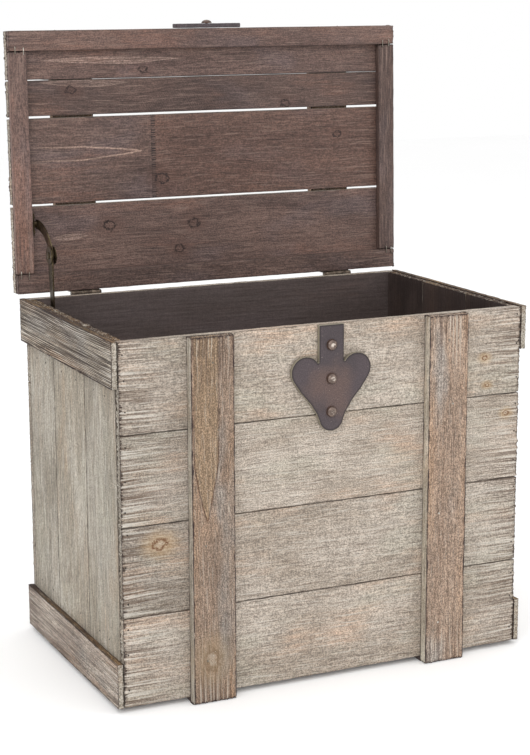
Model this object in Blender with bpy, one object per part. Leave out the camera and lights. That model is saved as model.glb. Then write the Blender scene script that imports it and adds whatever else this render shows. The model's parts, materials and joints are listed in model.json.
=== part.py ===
"""Weathered plank toy box with a hinged lid and a folding lid stay, modelled with its lid open.

Metres, +Z up, the front faces -Y. The origin is on the floor, under the middle of the whole object.
"""

from math import acos, cos, pi, radians, sin

import bmesh
import bpy
from mathutils import Vector

# Body
BODY_WIDTH = 0.560
BODY_DEPTH = 0.348
BODY_HEIGHT = 0.4572
BOARD = 0.012
FOOT = 0.0065
PLANK_ROWS = 4
PLANK_GAP = 0.0008
SEAT = 0.0003
END_JOINTS = (0.120, 0.236)
BOTTOM_THICKNESS = 0.009
TRIM_THICKNESS = 0.008
TRIM_HEIGHT = 0.057
STRAP_X = 0.164
STRAP_WIDTH = 0.057
STRAP_THICKNESS = 0.014
RIM = FOOT + BODY_HEIGHT

# Lid, whose own parts are placed with it shut
LID_GAP = 0.0015
LID_WIDTH = 0.5752
FRAME_THICKNESS = 0.010
FRAME_STILE = 0.025
FRAME_RAIL = 0.027
LID_BOARD = 0.012
LID_JOINTS = (0.1173, 0.2342, 0.2832)
LID_JOINT_GAPS = (0.0026, 0.0026, 0.0008)
LID_STRAP_X = 0.1935
LID_STRAP_WIDTH = 0.058
LID_OPEN = radians(91.57)
LID_BOTTOM = RIM + LID_GAP
LID_BOARDS_TOP = LID_BOTTOM + FRAME_THICKNESS + SEAT + LID_BOARD
LID_TOP = LID_BOARDS_TOP + SEAT + STRAP_THICKNESS

# Hinges
HINGE_X = 0.192
HINGE_LENGTH = 0.043
HINGE_PIN_OUT = 0.0033
HINGE_PIN_UP = 0.0005
HINGE_LEAF = 0.0012
HINGE_LEAF_REACH = 0.021
HINGE_KNUCKLE_RADIUS = 0.0030
HINGE_ROLL = radians(285)
HINGE_PIN_RADIUS = 0.0017
HINGE_KNUCKLE_GAP = 0.0008
PIN_Y = BODY_DEPTH + HINGE_PIN_OUT
PIN_Z = RIM + HINGE_PIN_UP

# Iron heart plate and latch plate
PLATE_THICKNESS = 0.006
HEART_STRAP_HALF = 0.0174
HEART_LOBE_X = 0.0355
HEART_LOBE_DROP = 0.058
HEART_LOBE_RADIUS = 0.020
HEART_LOBE_END = radians(212)
HEART_FLANK = ((0.0420, 0.0840), (0.0285, 0.0995), (0.0203, 0.1125))
HEART_TIP_DROP = 0.1185
HEART_TIP_RADIUS = 0.017
HEART_TIP_START = radians(190)
RIVET_DROPS = (0.0258, 0.0684, 0.1104)
RIVET_RADIUS = 0.0072
RIVET_DOME = 0.0045
RIVET_SHANK_RADIUS = 0.0018
RIVET_HOLE_RADIUS = 0.0020
LATCH_WIDTH = 0.096
LATCH_HEIGHT = 0.020
LATCH_CORNER = 0.004

# Lid stay on the left: a parallelogram of two arms, so both turn through the same angle as the lid
STAY_LID_PIVOT = (0.3570, 0.5605)
STAY_KNOB_PIVOT = (0.2980, 0.5260)
STAY_LOWER_X = (-0.2600, -0.2580)
STAY_UPPER_X = (-0.2576, -0.2556)
STAY_UPPER_WIDTH = 0.013
STAY_LOWER_TOP_RADIUS = 0.0085
STAY_LOWER_END_RADIUS = 0.0055
STAY_PIN_RADIUS = 0.0020
STAY_HOLE_RADIUS = 0.0021
STAY_PIN_HEAD_RADIUS = 0.0036
STAY_PIN_HEAD = 0.0015
STAY_BOSS_RADIUS = 0.0045
STAY_SOCKET = 0.0022
STAY_BRACKET = 0.0015
STAY_KNOB_RADIUS = 0.012
STAY_KNOB_HEIGHT = 0.0035

EDGE_WEAR = 0.0012
ROUND_STEPS = 24
WOOD_EXTERIOR = ("whitewashed_wood", (0.47, 0.42, 0.34), 0.85, 0.0)
WOOD_STRAP = ("brown_wood", (0.27, 0.19, 0.13), 0.85, 0.0)
WOOD_LID = ("dark_stained_wood", (0.13, 0.08, 0.06), 0.75, 0.0)
WOOD_BACK = ("dark_lining_wood", (0.07, 0.05, 0.045), 0.8, 0.0)
IRON = ("rusty_iron", (0.10, 0.075, 0.072), 0.55, 0.8)
RIVET_METAL = ("copper_brown_rivet", (0.22, 0.12, 0.08), 0.4, 0.9)
HINGE_METAL = ("hinge_steel", (0.25, 0.22, 0.18), 0.4, 1.0)
STAY_METAL = ("antique_brass", (0.14, 0.11, 0.06), 0.35, 1.0)


def clear_scene():
    for obj in list(bpy.data.objects):
        bpy.data.objects.remove(obj)


def material(spec):
    name, colour, roughness, metallic = spec
    if name in bpy.data.materials:
        return bpy.data.materials[name]
    made = bpy.data.materials.new(name)
    made.use_nodes = True
    shader = made.node_tree.nodes["Principled BSDF"]
    shader.inputs["Base Color"].default_value = (*colour, 1.0)
    shader.inputs["Roughness"].default_value = roughness
    shader.inputs["Metallic"].default_value = metallic
    return made


def empty(name, place, turn=0.0, parent=None):
    made = bpy.data.objects.new(name, None)
    made.location = place
    made.rotation_euler = (turn, 0.0, 0.0)
    made.parent = parent
    bpy.context.scene.collection.objects.link(made)
    return made


def node(name, mesh_maker, place, parent, spec):
    """An object whose mesh mesh_maker fills, at place in its parent's axes."""
    mesh = bpy.data.meshes.new(name)
    shape = bmesh.new()
    mesh_maker(shape)
    bmesh.ops.recalc_face_normals(shape, faces=shape.faces)
    shape.to_mesh(mesh)
    shape.free()
    mesh.materials.append(material(spec))
    made = bpy.data.objects.new(name, mesh)
    made.location = place
    made.parent = parent
    bpy.context.scene.collection.objects.link(made)
    return made


def bevel(obj, width, segments=1):
    made = obj.modifiers.new("worn edges", "BEVEL")
    made.width = width
    made.segments = segments
    made.limit_method = "ANGLE"


def smooth(obj, angle=35):
    obj.data.shade_smooth()
    obj.data.set_sharp_from_angle(angle=radians(angle))


def board(name, low, high, parent, spec, wear=EDGE_WEAR, about=(0.0, 0.0, 0.0)):
    """A sawn board between two corners, given in the axes that about is the origin of."""
    low, high = Vector(low), Vector(high)
    size = high - low

    def fill(shape):
        bmesh.ops.create_cube(shape, size=1.0)
        bmesh.ops.scale(shape, vec=size, verts=shape.verts)

    made = node(name, fill, (low + high) / 2 - Vector(about), parent, spec)
    bevel(made, wear)
    return made


def slab(shape, outline, depth, axis):
    """A flat plate: outline's points lie across axis, and the plate runs depth along it."""
    corners = []
    for first, second in outline:
        corners.append((0.0, first, second) if axis == "X" else (first, 0.0, second))
    face = shape.faces.new([shape.verts.new(corner) for corner in corners])
    moved = bmesh.ops.extrude_face_region(shape, geom=[face])["geom"]
    along = (depth, 0.0, 0.0) if axis == "X" else (0.0, depth, 0.0)
    lifted = [part for part in moved if isinstance(part, bmesh.types.BMVert)]
    bmesh.ops.translate(shape, vec=along, verts=lifted)


def arc(centre, radius, start, end, steps):
    """Points on an arc, both ends included."""
    points = []
    for step in range(steps + 1):
        angle = start + (end - start) * step / steps
        points.append((centre[0] + radius * cos(angle), centre[1] + radius * sin(angle)))
    return points


def turned(shape, profile, axis, steps=ROUND_STEPS):
    """A solid turned about axis from (distance along it, radius) pairs, whose two ends have radius 0."""
    ring_of = []
    for along, radius in profile:
        if radius == 0.0:
            ring_of.append([shape.verts.new(on_axis(axis, along, 0.0, 0.0))])
            continue
        ring = []
        for step in range(steps):
            angle = 2 * pi * step / steps
            ring.append(shape.verts.new(on_axis(axis, along, radius * cos(angle), radius * sin(angle))))
        ring_of.append(ring)
    for first, second in zip(ring_of, ring_of[1:]):
        for step in range(steps):
            after = (step + 1) % steps
            corners = [
                first[step % len(first)],
                first[after % len(first)],
                second[after % len(second)],
                second[step % len(second)],
            ]
            shape.faces.new(list(dict.fromkeys(corners)))


def on_axis(axis, along, first, second):
    return (along, first, second) if axis == "X" else (first, along, second)


def rod(low, high, radius):
    return [(low, 0.0), (low, radius), (high, radius), (high, 0.0)]


def dome(base, height, radius, steps=5):
    """A domed head's profile, from its flat base to its crown."""
    points = [(base, 0.0)]
    for step in range(steps):
        angle = pi / 2 * step / steps
        points.append((base + height * sin(angle), radius * cos(angle)))
    points.append((base + height, 0.0))
    return points


def cut(obj, cutter_maker, name, operation="DIFFERENCE"):
    """A Boolean with a hidden helper that has the same place and parent as obj."""
    helper = node(name, cutter_maker, obj.location, obj.parent, HINGE_METAL)
    helper.hide_render = True
    helper.display_type = "WIRE"
    made = obj.modifiers.new(name, "BOOLEAN")
    made.operation = operation
    made.object = helper


def drill(obj, name, axis, low, high, radius, at=(0.0, 0.0)):
    """A round hole along axis, at in the two directions across it."""

    def fill(shape):
        turned(shape, rod(low, high, radius), axis)
        bmesh.ops.translate(shape, vec=on_axis(axis, 0.0, *at), verts=shape.verts)

    cut(obj, fill, name)


def build_walls(body):
    inside = BODY_WIDTH / 2 - BOARD
    row = BODY_HEIGHT / PLANK_ROWS
    for count in range(PLANK_ROWS):
        low = FOOT + count * row + PLANK_GAP / 2
        high = FOOT + (count + 1) * row - PLANK_GAP / 2
        for side, front in (("front", 0.0), ("back", BODY_DEPTH - BOARD)):
            spec = WOOD_EXTERIOR
            low_corner = (-BODY_WIDTH / 2, front, low)
            high_corner = (BODY_WIDTH / 2, front + BOARD, high)
            board(f"{side}_plank_{count + 1}", low_corner, high_corner, body, spec)
    edges = (BOARD + SEAT / 2, *END_JOINTS, BODY_DEPTH - BOARD - SEAT / 2)
    for side, sign in (("left", -1), ("right", 1)):
        for count, (near, far) in enumerate(zip(edges, edges[1:])):
            low_x, high_x = sorted((sign * inside, sign * BODY_WIDTH / 2))
            low_corner = (low_x, near + PLANK_GAP / 2, FOOT)
            high_corner = (high_x, far - PLANK_GAP / 2, RIM)
            board(f"{side}_end_plank_{count + 1}", low_corner, high_corner, body, WOOD_EXTERIOR)
    low_corner = (-inside + SEAT, BOARD + SEAT, FOOT)
    high_corner = (inside - SEAT, BODY_DEPTH - BOARD - SEAT, FOOT + BOTTOM_THICKNESS)
    board("bottom_panel", low_corner, high_corner, body, WOOD_BACK, wear=0.0005)


def build_trims(body):
    heights = {"top": RIM - TRIM_HEIGHT, "bottom": FOOT}
    for side, sign in (("left", -1), ("right", 1)):
        low_x, high_x = sorted((sign * (BODY_WIDTH / 2 + SEAT), sign * (BODY_WIDTH / 2 + TRIM_THICKNESS)))
        for level, low in heights.items():
            low_corner = (low_x, 0.0, low)
            high_corner = (high_x, BODY_DEPTH, low + TRIM_HEIGHT)
            board(f"{side}_{level}_trim", low_corner, high_corner, body, WOOD_STRAP)


def build_straps(body):
    for side, sign in (("left", -1), ("right", 1)):
        low_x = sign * STRAP_X - STRAP_WIDTH / 2
        high_x = sign * STRAP_X + STRAP_WIDTH / 2
        low_corner = (low_x, -STRAP_THICKNESS, 0.0)
        board(f"{side}_front_strap", low_corner, (high_x, -SEAT, RIM), body, WOOD_STRAP, wear=0.002)
        high_corner = (high_x, BODY_DEPTH, FOOT - SEAT)
        board(f"{side}_runner", (low_x, SEAT, 0.0), high_corner, body, WOOD_STRAP, wear=0.0008)


def heart_outline():
    """Half the heart from the strap's top left, round the left lobe to the tip, then its mirror image."""
    start = acos((HEART_LOBE_X - HEART_STRAP_HALF) / HEART_LOBE_RADIUS)
    half = [(-HEART_STRAP_HALF, 0.0)]
    lobe = (-HEART_LOBE_X, -HEART_LOBE_DROP)
    half += arc(lobe, HEART_LOBE_RADIUS, start, HEART_LOBE_END, 12)
    half += [(-across, -drop) for across, drop in HEART_FLANK]
    half += arc((0.0, -HEART_TIP_DROP), HEART_TIP_RADIUS, HEART_TIP_START, 1.5 * pi, 6)
    mirrored = [(-across, drop) for across, drop in reversed(half[:-1])]
    return half + mirrored


def latch_outline():
    """A rounded rectangle about its own centre."""
    across = LATCH_WIDTH / 2 - LATCH_CORNER
    up = LATCH_HEIGHT / 2 - LATCH_CORNER
    points = []
    for quarter, (x, z) in enumerate(((across, up), (-across, up), (-across, -up), (across, -up))):
        points += arc((x, z), LATCH_CORNER, quarter * pi / 2, (quarter + 1) * pi / 2, 4)
    return points


def rivet(name, place, parent):
    """A domed nail whose shank ends inside the plate: base of the dome at place, crown towards -Y."""

    def fill(shape):
        profile = [(PLATE_THICKNESS, 0.0), (PLATE_THICKNESS, RIVET_SHANK_RADIUS)]
        profile += [(-SEAT, RIVET_SHANK_RADIUS)]
        profile += [(-SEAT - along, radius) for along, radius in dome(0.0, RIVET_DOME, RIVET_RADIUS)[1:]]
        turned(shape, profile, "Y")

    made = node(name, fill, place, parent, RIVET_METAL)
    smooth(made, 60)


def iron_plate(name, outline, place, parent, holes):
    """A plate with worn edges, its outer face at place and its thickness along +Y."""

    def fill(shape):
        slab(shape, outline, PLATE_THICKNESS, "Y")

    made = node(name, fill, place, parent, IRON)
    bevel(made, 0.0008, 2)
    for count, (across, up) in enumerate(holes):
        hole_name = f"{name}_hole_{count + 1}"
        drill(made, hole_name, "Y", -0.01, PLATE_THICKNESS + 0.01, RIVET_HOLE_RADIUS, at=(across, up))
    smooth(made)


def build_heart(body):
    front = -PLATE_THICKNESS - SEAT
    holes = [(0.0, -drop) for drop in RIVET_DROPS]
    iron_plate("heart_plate", heart_outline(), (0.0, front, RIM - SEAT), body, holes)
    for count, drop in enumerate(RIVET_DROPS):
        rivet(f"heart_rivet_{count + 1}", (0.0, front, RIM - SEAT - drop), body)


def build_lid(lid):
    pin = (0.0, PIN_Y, PIN_Z)
    half = LID_WIDTH / 2
    frame_top = LID_BOTTOM + FRAME_THICKNESS
    rails = {
        "lid_frame_front": ((-half, 0.0), (half, FRAME_RAIL - SEAT)),
        "lid_frame_back": ((-half, BODY_DEPTH - FRAME_RAIL + SEAT), (half, BODY_DEPTH)),
        "lid_frame_left": ((-half, FRAME_RAIL), (-half + FRAME_STILE, BODY_DEPTH - FRAME_RAIL)),
        "lid_frame_right": ((half - FRAME_STILE, FRAME_RAIL), (half, BODY_DEPTH - FRAME_RAIL)),
    }
    for name, (low, high) in rails.items():
        board(name, (*low, LID_BOTTOM), (*high, frame_top), lid, WOOD_LID, about=pin)
    joints = [0.0, *LID_JOINTS, BODY_DEPTH]
    gaps = [0.0, *LID_JOINT_GAPS, 0.0]
    for count in range(len(joints) - 1):
        back = BODY_DEPTH - joints[count] - gaps[count] / 2
        front = BODY_DEPTH - joints[count + 1] + gaps[count + 1] / 2
        low_corner = (-half, front, frame_top + SEAT)
        high_corner = (half, back, LID_BOARDS_TOP)
        board(f"lid_plank_{count + 1}", low_corner, high_corner, lid, WOOD_LID, about=pin)
    for side, sign in (("left", -1), ("right", 1)):
        low_x = sign * LID_STRAP_X - LID_STRAP_WIDTH / 2
        high_x = sign * LID_STRAP_X + LID_STRAP_WIDTH / 2
        low_corner = (low_x, 0.0, LID_BOARDS_TOP + SEAT)
        high_corner = (high_x, BODY_DEPTH, LID_TOP)
        board(f"{side}_lid_strap", low_corner, high_corner, lid, WOOD_STRAP, wear=0.002, about=pin)
    latch_middle = (LID_BOTTOM + LID_BOARDS_TOP) / 2
    place = Vector((0.0, -PLATE_THICKNESS - SEAT, latch_middle)) - Vector(pin)
    iron_plate("lid_latch_plate", latch_outline(), place, lid, [(0.0, 0.0)])
    rivet("lid_latch_rivet", place, lid)


def rolled_outline(direction):
    """A leaf, up for direction 1, whose edge is rolled round the pin line, which is the origin."""
    inner = HINGE_KNUCKLE_RADIUS - HINGE_LEAF
    roll_end = pi - HINGE_ROLL
    points = [(-HINGE_KNUCKLE_RADIUS, -HINGE_LEAF_REACH)]
    points += arc((0.0, 0.0), HINGE_KNUCKLE_RADIUS, pi, roll_end, 18)
    points += arc((0.0, 0.0), inner, roll_end, pi, 18)
    points.append((-inner, -HINGE_LEAF_REACH))
    return [(out, -direction * up) for out, up in points]


def hinge_leaf(name, place, parent, direction, others):
    """A rolled leaf along X, cut back where the other leaf's knuckles sit."""

    def fill(shape):
        slab(shape, rolled_outline(direction), HINGE_LENGTH, "X")
        bmesh.ops.translate(shape, vec=(-HINGE_LENGTH / 2, 0.0, 0.0), verts=shape.verts)

    made = node(name, fill, place, parent, HINGE_METAL)
    for count, (low, high) in enumerate(others):

        def relief(shape, low=low, high=high):
            reach = 2 * (HINGE_KNUCKLE_RADIUS + HINGE_KNUCKLE_GAP)
            bmesh.ops.create_cube(shape, size=1.0)
            bmesh.ops.scale(shape, vec=(high - low, 0.02, reach), verts=shape.verts)
            bmesh.ops.translate(shape, vec=((low + high) / 2, 0.0, 0.0), verts=shape.verts)

        cut(made, relief, f"{name}_relief_{count + 1}")
    smooth(made)


def build_hinge(side, x, body, lid):
    third = HINGE_LENGTH / 6
    gap = HINGE_KNUCKLE_GAP / 2
    middle = (-third - gap, third + gap)
    ends = ((-HINGE_LENGTH, -third + gap), (third - gap, HINGE_LENGTH))
    hinge_leaf(f"{side}_hinge_body_leaf", (x, PIN_Y, PIN_Z), body, -1, [middle])
    hinge_leaf(f"{side}_hinge_lid_leaf", (x, 0.0, 0.0), lid, 1, ends)

    def pin(shape):
        turned(shape, rod(-HINGE_LENGTH / 2, HINGE_LENGTH / 2, HINGE_PIN_RADIUS), "X")

    smooth(node(f"{side}_hinge_pin", pin, (x, PIN_Y, PIN_Z), body, HINGE_METAL))


def lower_arm_outline(knob):
    """Round both pivots, tapering from the knob down to the body pivot, which is the origin."""
    lean = Vector(knob).angle_signed(Vector((1.0, 0.0)))
    spread = acos((STAY_LOWER_TOP_RADIUS - STAY_LOWER_END_RADIUS) / Vector(knob).length)
    top = arc(knob, STAY_LOWER_TOP_RADIUS, lean - spread, lean + spread, 16)
    end = arc((0.0, 0.0), STAY_LOWER_END_RADIUS, lean + spread, lean + 2 * pi - spread, 16)
    return top + end


def upper_arm_outline(knob):
    """An arc that leaves the lid pivot, the origin, level and comes down to the knob, with round ends."""
    across, drop = -knob[0], -knob[1]
    radius = (across**2 + drop**2) / (2 * drop)
    swing = acos(1 - drop / radius)
    half = STAY_UPPER_WIDTH / 2
    centre = (0.0, -radius)
    outer = arc(centre, radius + half, pi / 2, pi / 2 + swing, 14)
    at_knob = arc(knob, half, pi / 2 + swing, 1.5 * pi + swing, 10)[1:-1]
    inner = arc(centre, radius - half, pi / 2 + swing, pi / 2, 14)
    at_lid = arc((0.0, 0.0), half, -pi / 2, pi / 2, 10)[1:-1]
    return outer + at_knob + inner + at_lid


def stay_arm(name, outline, span, place, parent):
    """A flat arm across X, its pivot at place, with an eye for the pivot pin."""

    def fill(shape):
        slab(shape, outline, span[1] - span[0], "X")

    made = node(name, fill, (span[0], *place), parent, STAY_METAL)
    bevel(made, 0.0004)
    drill(made, f"{name}_eye", "X", -0.01, 0.01, STAY_HOLE_RADIUS)
    smooth(made)


def stay_bracket(name, low_x, boss_end, place, parent, size):
    """A screwed plate with a boss whose socket holds the pivot pin, place being the pivot."""
    length, height, drop = size

    def plate(shape):
        bmesh.ops.create_cube(shape, size=1.0)
        bmesh.ops.scale(shape, vec=(STAY_BRACKET, length, height), verts=shape.verts)
        bmesh.ops.translate(shape, vec=(STAY_BRACKET / 2, 0.0, drop), verts=shape.verts)

    made = node(name, plate, (low_x, *place), parent, STAY_METAL)
    bevel(made, 0.0004)

    def boss(shape):
        turned(shape, rod(STAY_BRACKET / 2, boss_end - low_x, STAY_BOSS_RADIUS), "X")

    cut(made, boss, f"{name}_boss", "UNION")
    end = boss_end - low_x
    drill(made, f"{name}_socket", "X", end - STAY_SOCKET, end + 0.01, STAY_HOLE_RADIUS)
    smooth(made)


def stay_pin(name, low_x, high_x, place, parent):
    """A pivot pin with a domed head past the arm, towards +X."""

    def fill(shape):
        profile = [(0.0, 0.0), (0.0, STAY_PIN_RADIUS), (high_x - low_x, STAY_PIN_RADIUS)]
        profile += dome(high_x - low_x, STAY_PIN_HEAD, STAY_PIN_HEAD_RADIUS)[1:]
        turned(shape, profile, "X")

    smooth(node(name, fill, (low_x, *place), parent, STAY_METAL), 60)


def stay_knob(name, base_x, sign, place, parent):
    """A stepped friction disc with a domed middle, its flat side against an arm."""
    flange = STAY_KNOB_HEIGHT * 0.45
    hub = STAY_KNOB_RADIUS * 0.42
    profile = [(0.0, 0.0), (0.0, STAY_KNOB_RADIUS), (flange * 0.6, STAY_KNOB_RADIUS)]
    profile += [(flange, STAY_KNOB_RADIUS * 0.9), (flange, hub)]
    profile += dome(flange * 1.3, STAY_KNOB_HEIGHT - flange * 1.3, hub)[1:]

    def fill(shape):
        turned(shape, [(sign * along, radius) for along, radius in profile], "X")

    smooth(node(name, fill, (base_x, *place), parent, STAY_METAL))


def build_stay(body, lid):
    knob = Vector(STAY_KNOB_PIVOT)
    lid_pivot = Vector(STAY_LID_PIVOT)
    hinge = Vector((PIN_Y, PIN_Z))
    body_pivot = hinge + knob - lid_pivot
    turn_cos, turn_sin = cos(LID_OPEN), sin(LID_OPEN)
    reach, rise = lid_pivot - hinge
    shut_pivot = (reach * turn_cos - rise * turn_sin, reach * turn_sin + rise * turn_cos)
    wall = -BODY_WIDTH / 2 + BOARD + SEAT
    stile = -LID_WIDTH / 2 + FRAME_STILE + SEAT
    stay_bracket("stay_body_bracket", wall, STAY_LOWER_X[0] - SEAT, body_pivot, body, (0.016, 0.040, -0.008))
    pin_start = STAY_LOWER_X[0] - STAY_SOCKET
    stay_pin("stay_lower_pin", pin_start, STAY_LOWER_X[1] + SEAT, body_pivot, body)
    outline = lower_arm_outline(tuple(knob - body_pivot))
    stay_arm("stay_lower_arm", outline, STAY_LOWER_X, body_pivot, body)
    stay_knob("stay_inner_knob", STAY_LOWER_X[0] - SEAT, -1, knob, body)
    outline = upper_arm_outline(tuple(knob - lid_pivot))
    stay_arm("stay_upper_arm", outline, STAY_UPPER_X, lid_pivot, body)
    stay_knob("stay_outer_knob", STAY_UPPER_X[1] + SEAT, 1, knob, body)
    bracket_up = LID_BOTTOM + FRAME_THICKNESS / 2 - PIN_Z - shut_pivot[1]
    size = (0.030, FRAME_THICKNESS - 0.0015, bracket_up)
    stay_bracket("stay_lid_bracket", stile, STAY_UPPER_X[0] - SEAT, shut_pivot, lid, size)
    pin_start = STAY_UPPER_X[0] - STAY_SOCKET
    stay_pin("stay_upper_pin", pin_start, STAY_UPPER_X[1] + SEAT, shut_pivot, lid)


def main():
    clear_scene()
    back_reach = PIN_Y - PIN_Y * cos(LID_OPEN) + (LID_TOP - PIN_Z) * sin(LID_OPEN)
    body = empty("body_origin", (0.0, (STRAP_THICKNESS - back_reach) / 2, 0.0))
    lid = empty("lid_axis", (0.0, PIN_Y, PIN_Z), -LID_OPEN, body)
    build_walls(body)
    build_trims(body)
    build_straps(body)
    build_heart(body)
    build_lid(lid)
    for side, sign in (("left", -1), ("right", 1)):
        build_hinge(side, sign * HINGE_X, body, lid)
    build_stay(body, lid)


main()
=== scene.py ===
"""Weathered plank toy box with its lid open: worn boards, ironwork, lid stay and a plain studio.

Laid out as an add-on and run as a script. Every board is modelled on the bench, lying flat with its
length along X, its width along Y and its better face up, and is then carried to where its part lies.
"""

import json
import math
import random

import bmesh
import bpy
import numpy as np
from bpy.props import FloatProperty, FloatVectorProperty, PointerProperty
from mathutils import Matrix, Vector, kdtree


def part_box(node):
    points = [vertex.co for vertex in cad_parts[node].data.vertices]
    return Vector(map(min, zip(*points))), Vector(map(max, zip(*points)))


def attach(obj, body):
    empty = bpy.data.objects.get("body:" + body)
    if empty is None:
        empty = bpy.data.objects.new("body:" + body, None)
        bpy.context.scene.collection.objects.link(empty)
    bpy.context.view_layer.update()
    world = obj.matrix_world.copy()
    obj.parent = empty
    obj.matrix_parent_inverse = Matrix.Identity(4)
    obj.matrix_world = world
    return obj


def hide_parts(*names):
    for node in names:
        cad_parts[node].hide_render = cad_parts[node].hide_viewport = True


bl_info = {
    "name": "Weathered Toy Box",
    "version": (1, 0, 0),
    "blender": (4, 5, 0),
    "location": "View3D > Sidebar > Toy Box",
    "description": "Builds the worn boards, ironwork and studio round a toy box frame",
    "category": "Object",
}

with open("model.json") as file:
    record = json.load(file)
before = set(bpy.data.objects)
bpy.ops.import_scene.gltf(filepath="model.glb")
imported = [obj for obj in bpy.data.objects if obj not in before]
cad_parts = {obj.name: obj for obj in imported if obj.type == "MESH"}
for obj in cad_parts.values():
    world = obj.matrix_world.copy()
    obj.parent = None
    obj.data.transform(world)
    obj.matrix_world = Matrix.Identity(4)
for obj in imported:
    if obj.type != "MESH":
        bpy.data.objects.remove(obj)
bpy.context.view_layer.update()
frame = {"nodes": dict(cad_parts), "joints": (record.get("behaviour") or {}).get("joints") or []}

LID_JOINT = next(joint for joint in frame["joints"] if joint["name"] == "lid_hinge")
HINGE_PIN = Vector(LID_JOINT["pos_m"])
LID_OPEN = math.radians(LID_JOINT["range_deg"][1])
LID_SWING = Matrix.Rotation(-LID_OPEN, 4, "X")
LID_TURN = Matrix.Translation(HINGE_PIN) @ LID_SWING @ Matrix.Translation(-HINGE_PIN)
NO_TURN = Matrix.Identity(4)
WHITE = (1.0, 1.0, 1.0, 1.0)

X_AXIS = Vector((1.0, 0.0, 0.0))
Y_AXIS = Vector((0.0, 1.0, 0.0))
Z_AXIS = Vector((0.0, 0.0, 1.0))


def srgb(red, green, blue):
    """A colour given in 0-255 steps, as the linear values that materials hold."""
    linear = []
    for step in (red, green, blue):
        value = step / 255
        linear.append(value / 12.92 if value <= 0.04045 else ((value + 0.055) / 1.055) ** 2.4)
    return tuple(linear)


# ---------------------------------------------------------------------------------------------
# Settings


def colour_setting(name, description, default):
    return FloatVectorProperty(
        name=name, description=description, default=default, subtype="COLOR", min=0.0, max=1.0
    )


def length_setting(name, description, default):
    return FloatProperty(
        name=name, description=description, default=default, min=0.0, unit="LENGTH", precision=5
    )


class WoodSettings(bpy.types.PropertyGroup):
    """How deep the boards are worn, and their colours."""

    plank_grain: length_setting("Plank grain", "Depth of the open grain on the whitewashed planks", 0.0004)
    trim_grain: length_setting("Trim grain", "Depth of the wire-brushed grain on the end trims", 0.0009)
    strap_grain: length_setting("Strap grain", "Depth of the grain on the upright straps", 0.0006)
    lid_grain: length_setting("Lid grain", "Depth of the grain inside the lid", 0.0003)
    edge_wear: length_setting("Edge wear", "Depth to which edges are chewed away", 0.0006)
    end_notch: length_setting("End notches", "Depth of the notches in the planks' sawn ends", 0.0014)
    wash_pale: colour_setting("Pale wash", "Whitewash where it lies thick", srgb(175, 164, 152))
    wash_dull: colour_setting("Dull wash", "Whitewash where it is rubbed thin", srgb(157, 145, 132))
    strap_brown: colour_setting("Strap brown", "Brown of the straps and trims", srgb(146, 126, 110))
    lid_brown: colour_setting("Lid brown", "Stain inside the lid", srgb(108, 86, 78))
    lining_brown: colour_setting("Lining brown", "Stain inside the body", srgb(86, 75, 73))


class MetalSettings(bpy.types.PropertyGroup):
    """Colours of the ironwork and fittings."""

    iron: colour_setting("Iron", "Plates on the front and on the lid", srgb(75, 65, 68))
    rust: colour_setting("Rust", "Rusty tint in the middle of the plates", srgb(98, 78, 71))
    rivet: colour_setting("Rivet", "Domed rivets", srgb(122, 104, 94))
    brass: colour_setting("Brass", "Lid stay", srgb(98, 86, 64))
    steel: colour_setting("Steel", "Staples and screws", srgb(200, 194, 184))
    hinge: colour_setting("Hinge", "Hinges", srgb(128, 114, 100))


class StudioSettings(bpy.types.PropertyGroup):
    """Camera, floor and lights."""

    lens: FloatProperty(
        name="Lens", description="Focal length", default=88.34, min=1.0, unit="CAMERA"
    )
    floor: colour_setting("Floor", "Plain pale floor", (0.97, 0.97, 0.97))
    glow: FloatProperty(name="Floor glow", description="Light the floor gives off", default=0.07, min=0.0)
    key: FloatProperty(name="Key light", description="Large soft light", default=60.0, unit="POWER")
    fill: FloatProperty(name="Fill light", description="Light from the right", default=16.0, unit="POWER")
    top: FloatProperty(name="Top light", description="Light from above", default=20.0, unit="POWER")
    sky: FloatProperty(name="Room light", description="Even light all round", default=0.93, min=0.0)


# ---------------------------------------------------------------------------------------------
# Hand work shared by the pieces


def deselect():
    if bpy.context.mode != "OBJECT":
        bpy.ops.object.mode_set(mode="OBJECT")
    bpy.ops.object.select_all(action="DESELECT")


def take(obj):
    """Makes obj the only selected object and the active one."""
    deselect()
    obj.select_set(True)
    bpy.context.view_layer.objects.active = obj


def pick(obj, kind, test):
    """In edit mode, selects only the faces or edges that test accepts."""
    bpy.ops.mesh.select_mode(type="FACE" if kind == "faces" else "EDGE")
    bpy.ops.mesh.select_all(action="DESELECT")
    shape = bmesh.from_edit_mesh(obj.data)
    shape.normal_update()
    for part in getattr(shape, kind):
        if test(part):
            part.select_set(True)
    shape.select_flush_mode()
    bmesh.update_edit_mesh(obj.data)


def apply_modifiers(obj):
    take(obj)
    for modifier in list(obj.modifiers):
        bpy.ops.object.modifier_apply(modifier=modifier.name)


def apply_place(obj):
    take(obj)
    bpy.ops.object.transform_apply(location=True, rotation=True, scale=True)


def copied(obj, name):
    made = obj.copy()
    made.data = obj.data.copy()
    made.name = name
    made.data.name = name
    bpy.context.scene.collection.objects.link(made)
    return made


def carry(obj, place):
    """Moves a piece made on the bench to its place, which ends up in its mesh."""
    obj.matrix_world = place
    apply_place(obj)


def positions(obj):
    points = np.empty(len(obj.data.vertices) * 3, np.float32)
    obj.data.vertices.foreach_get("co", points)
    return points.reshape(-1, 3).astype(float)


def smooth_by_angle(obj, degrees):
    take(obj)
    bpy.ops.object.shade_smooth_by_angle(angle=math.radians(degrees))


# ---------------------------------------------------------------------------------------------
# Boards


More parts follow.
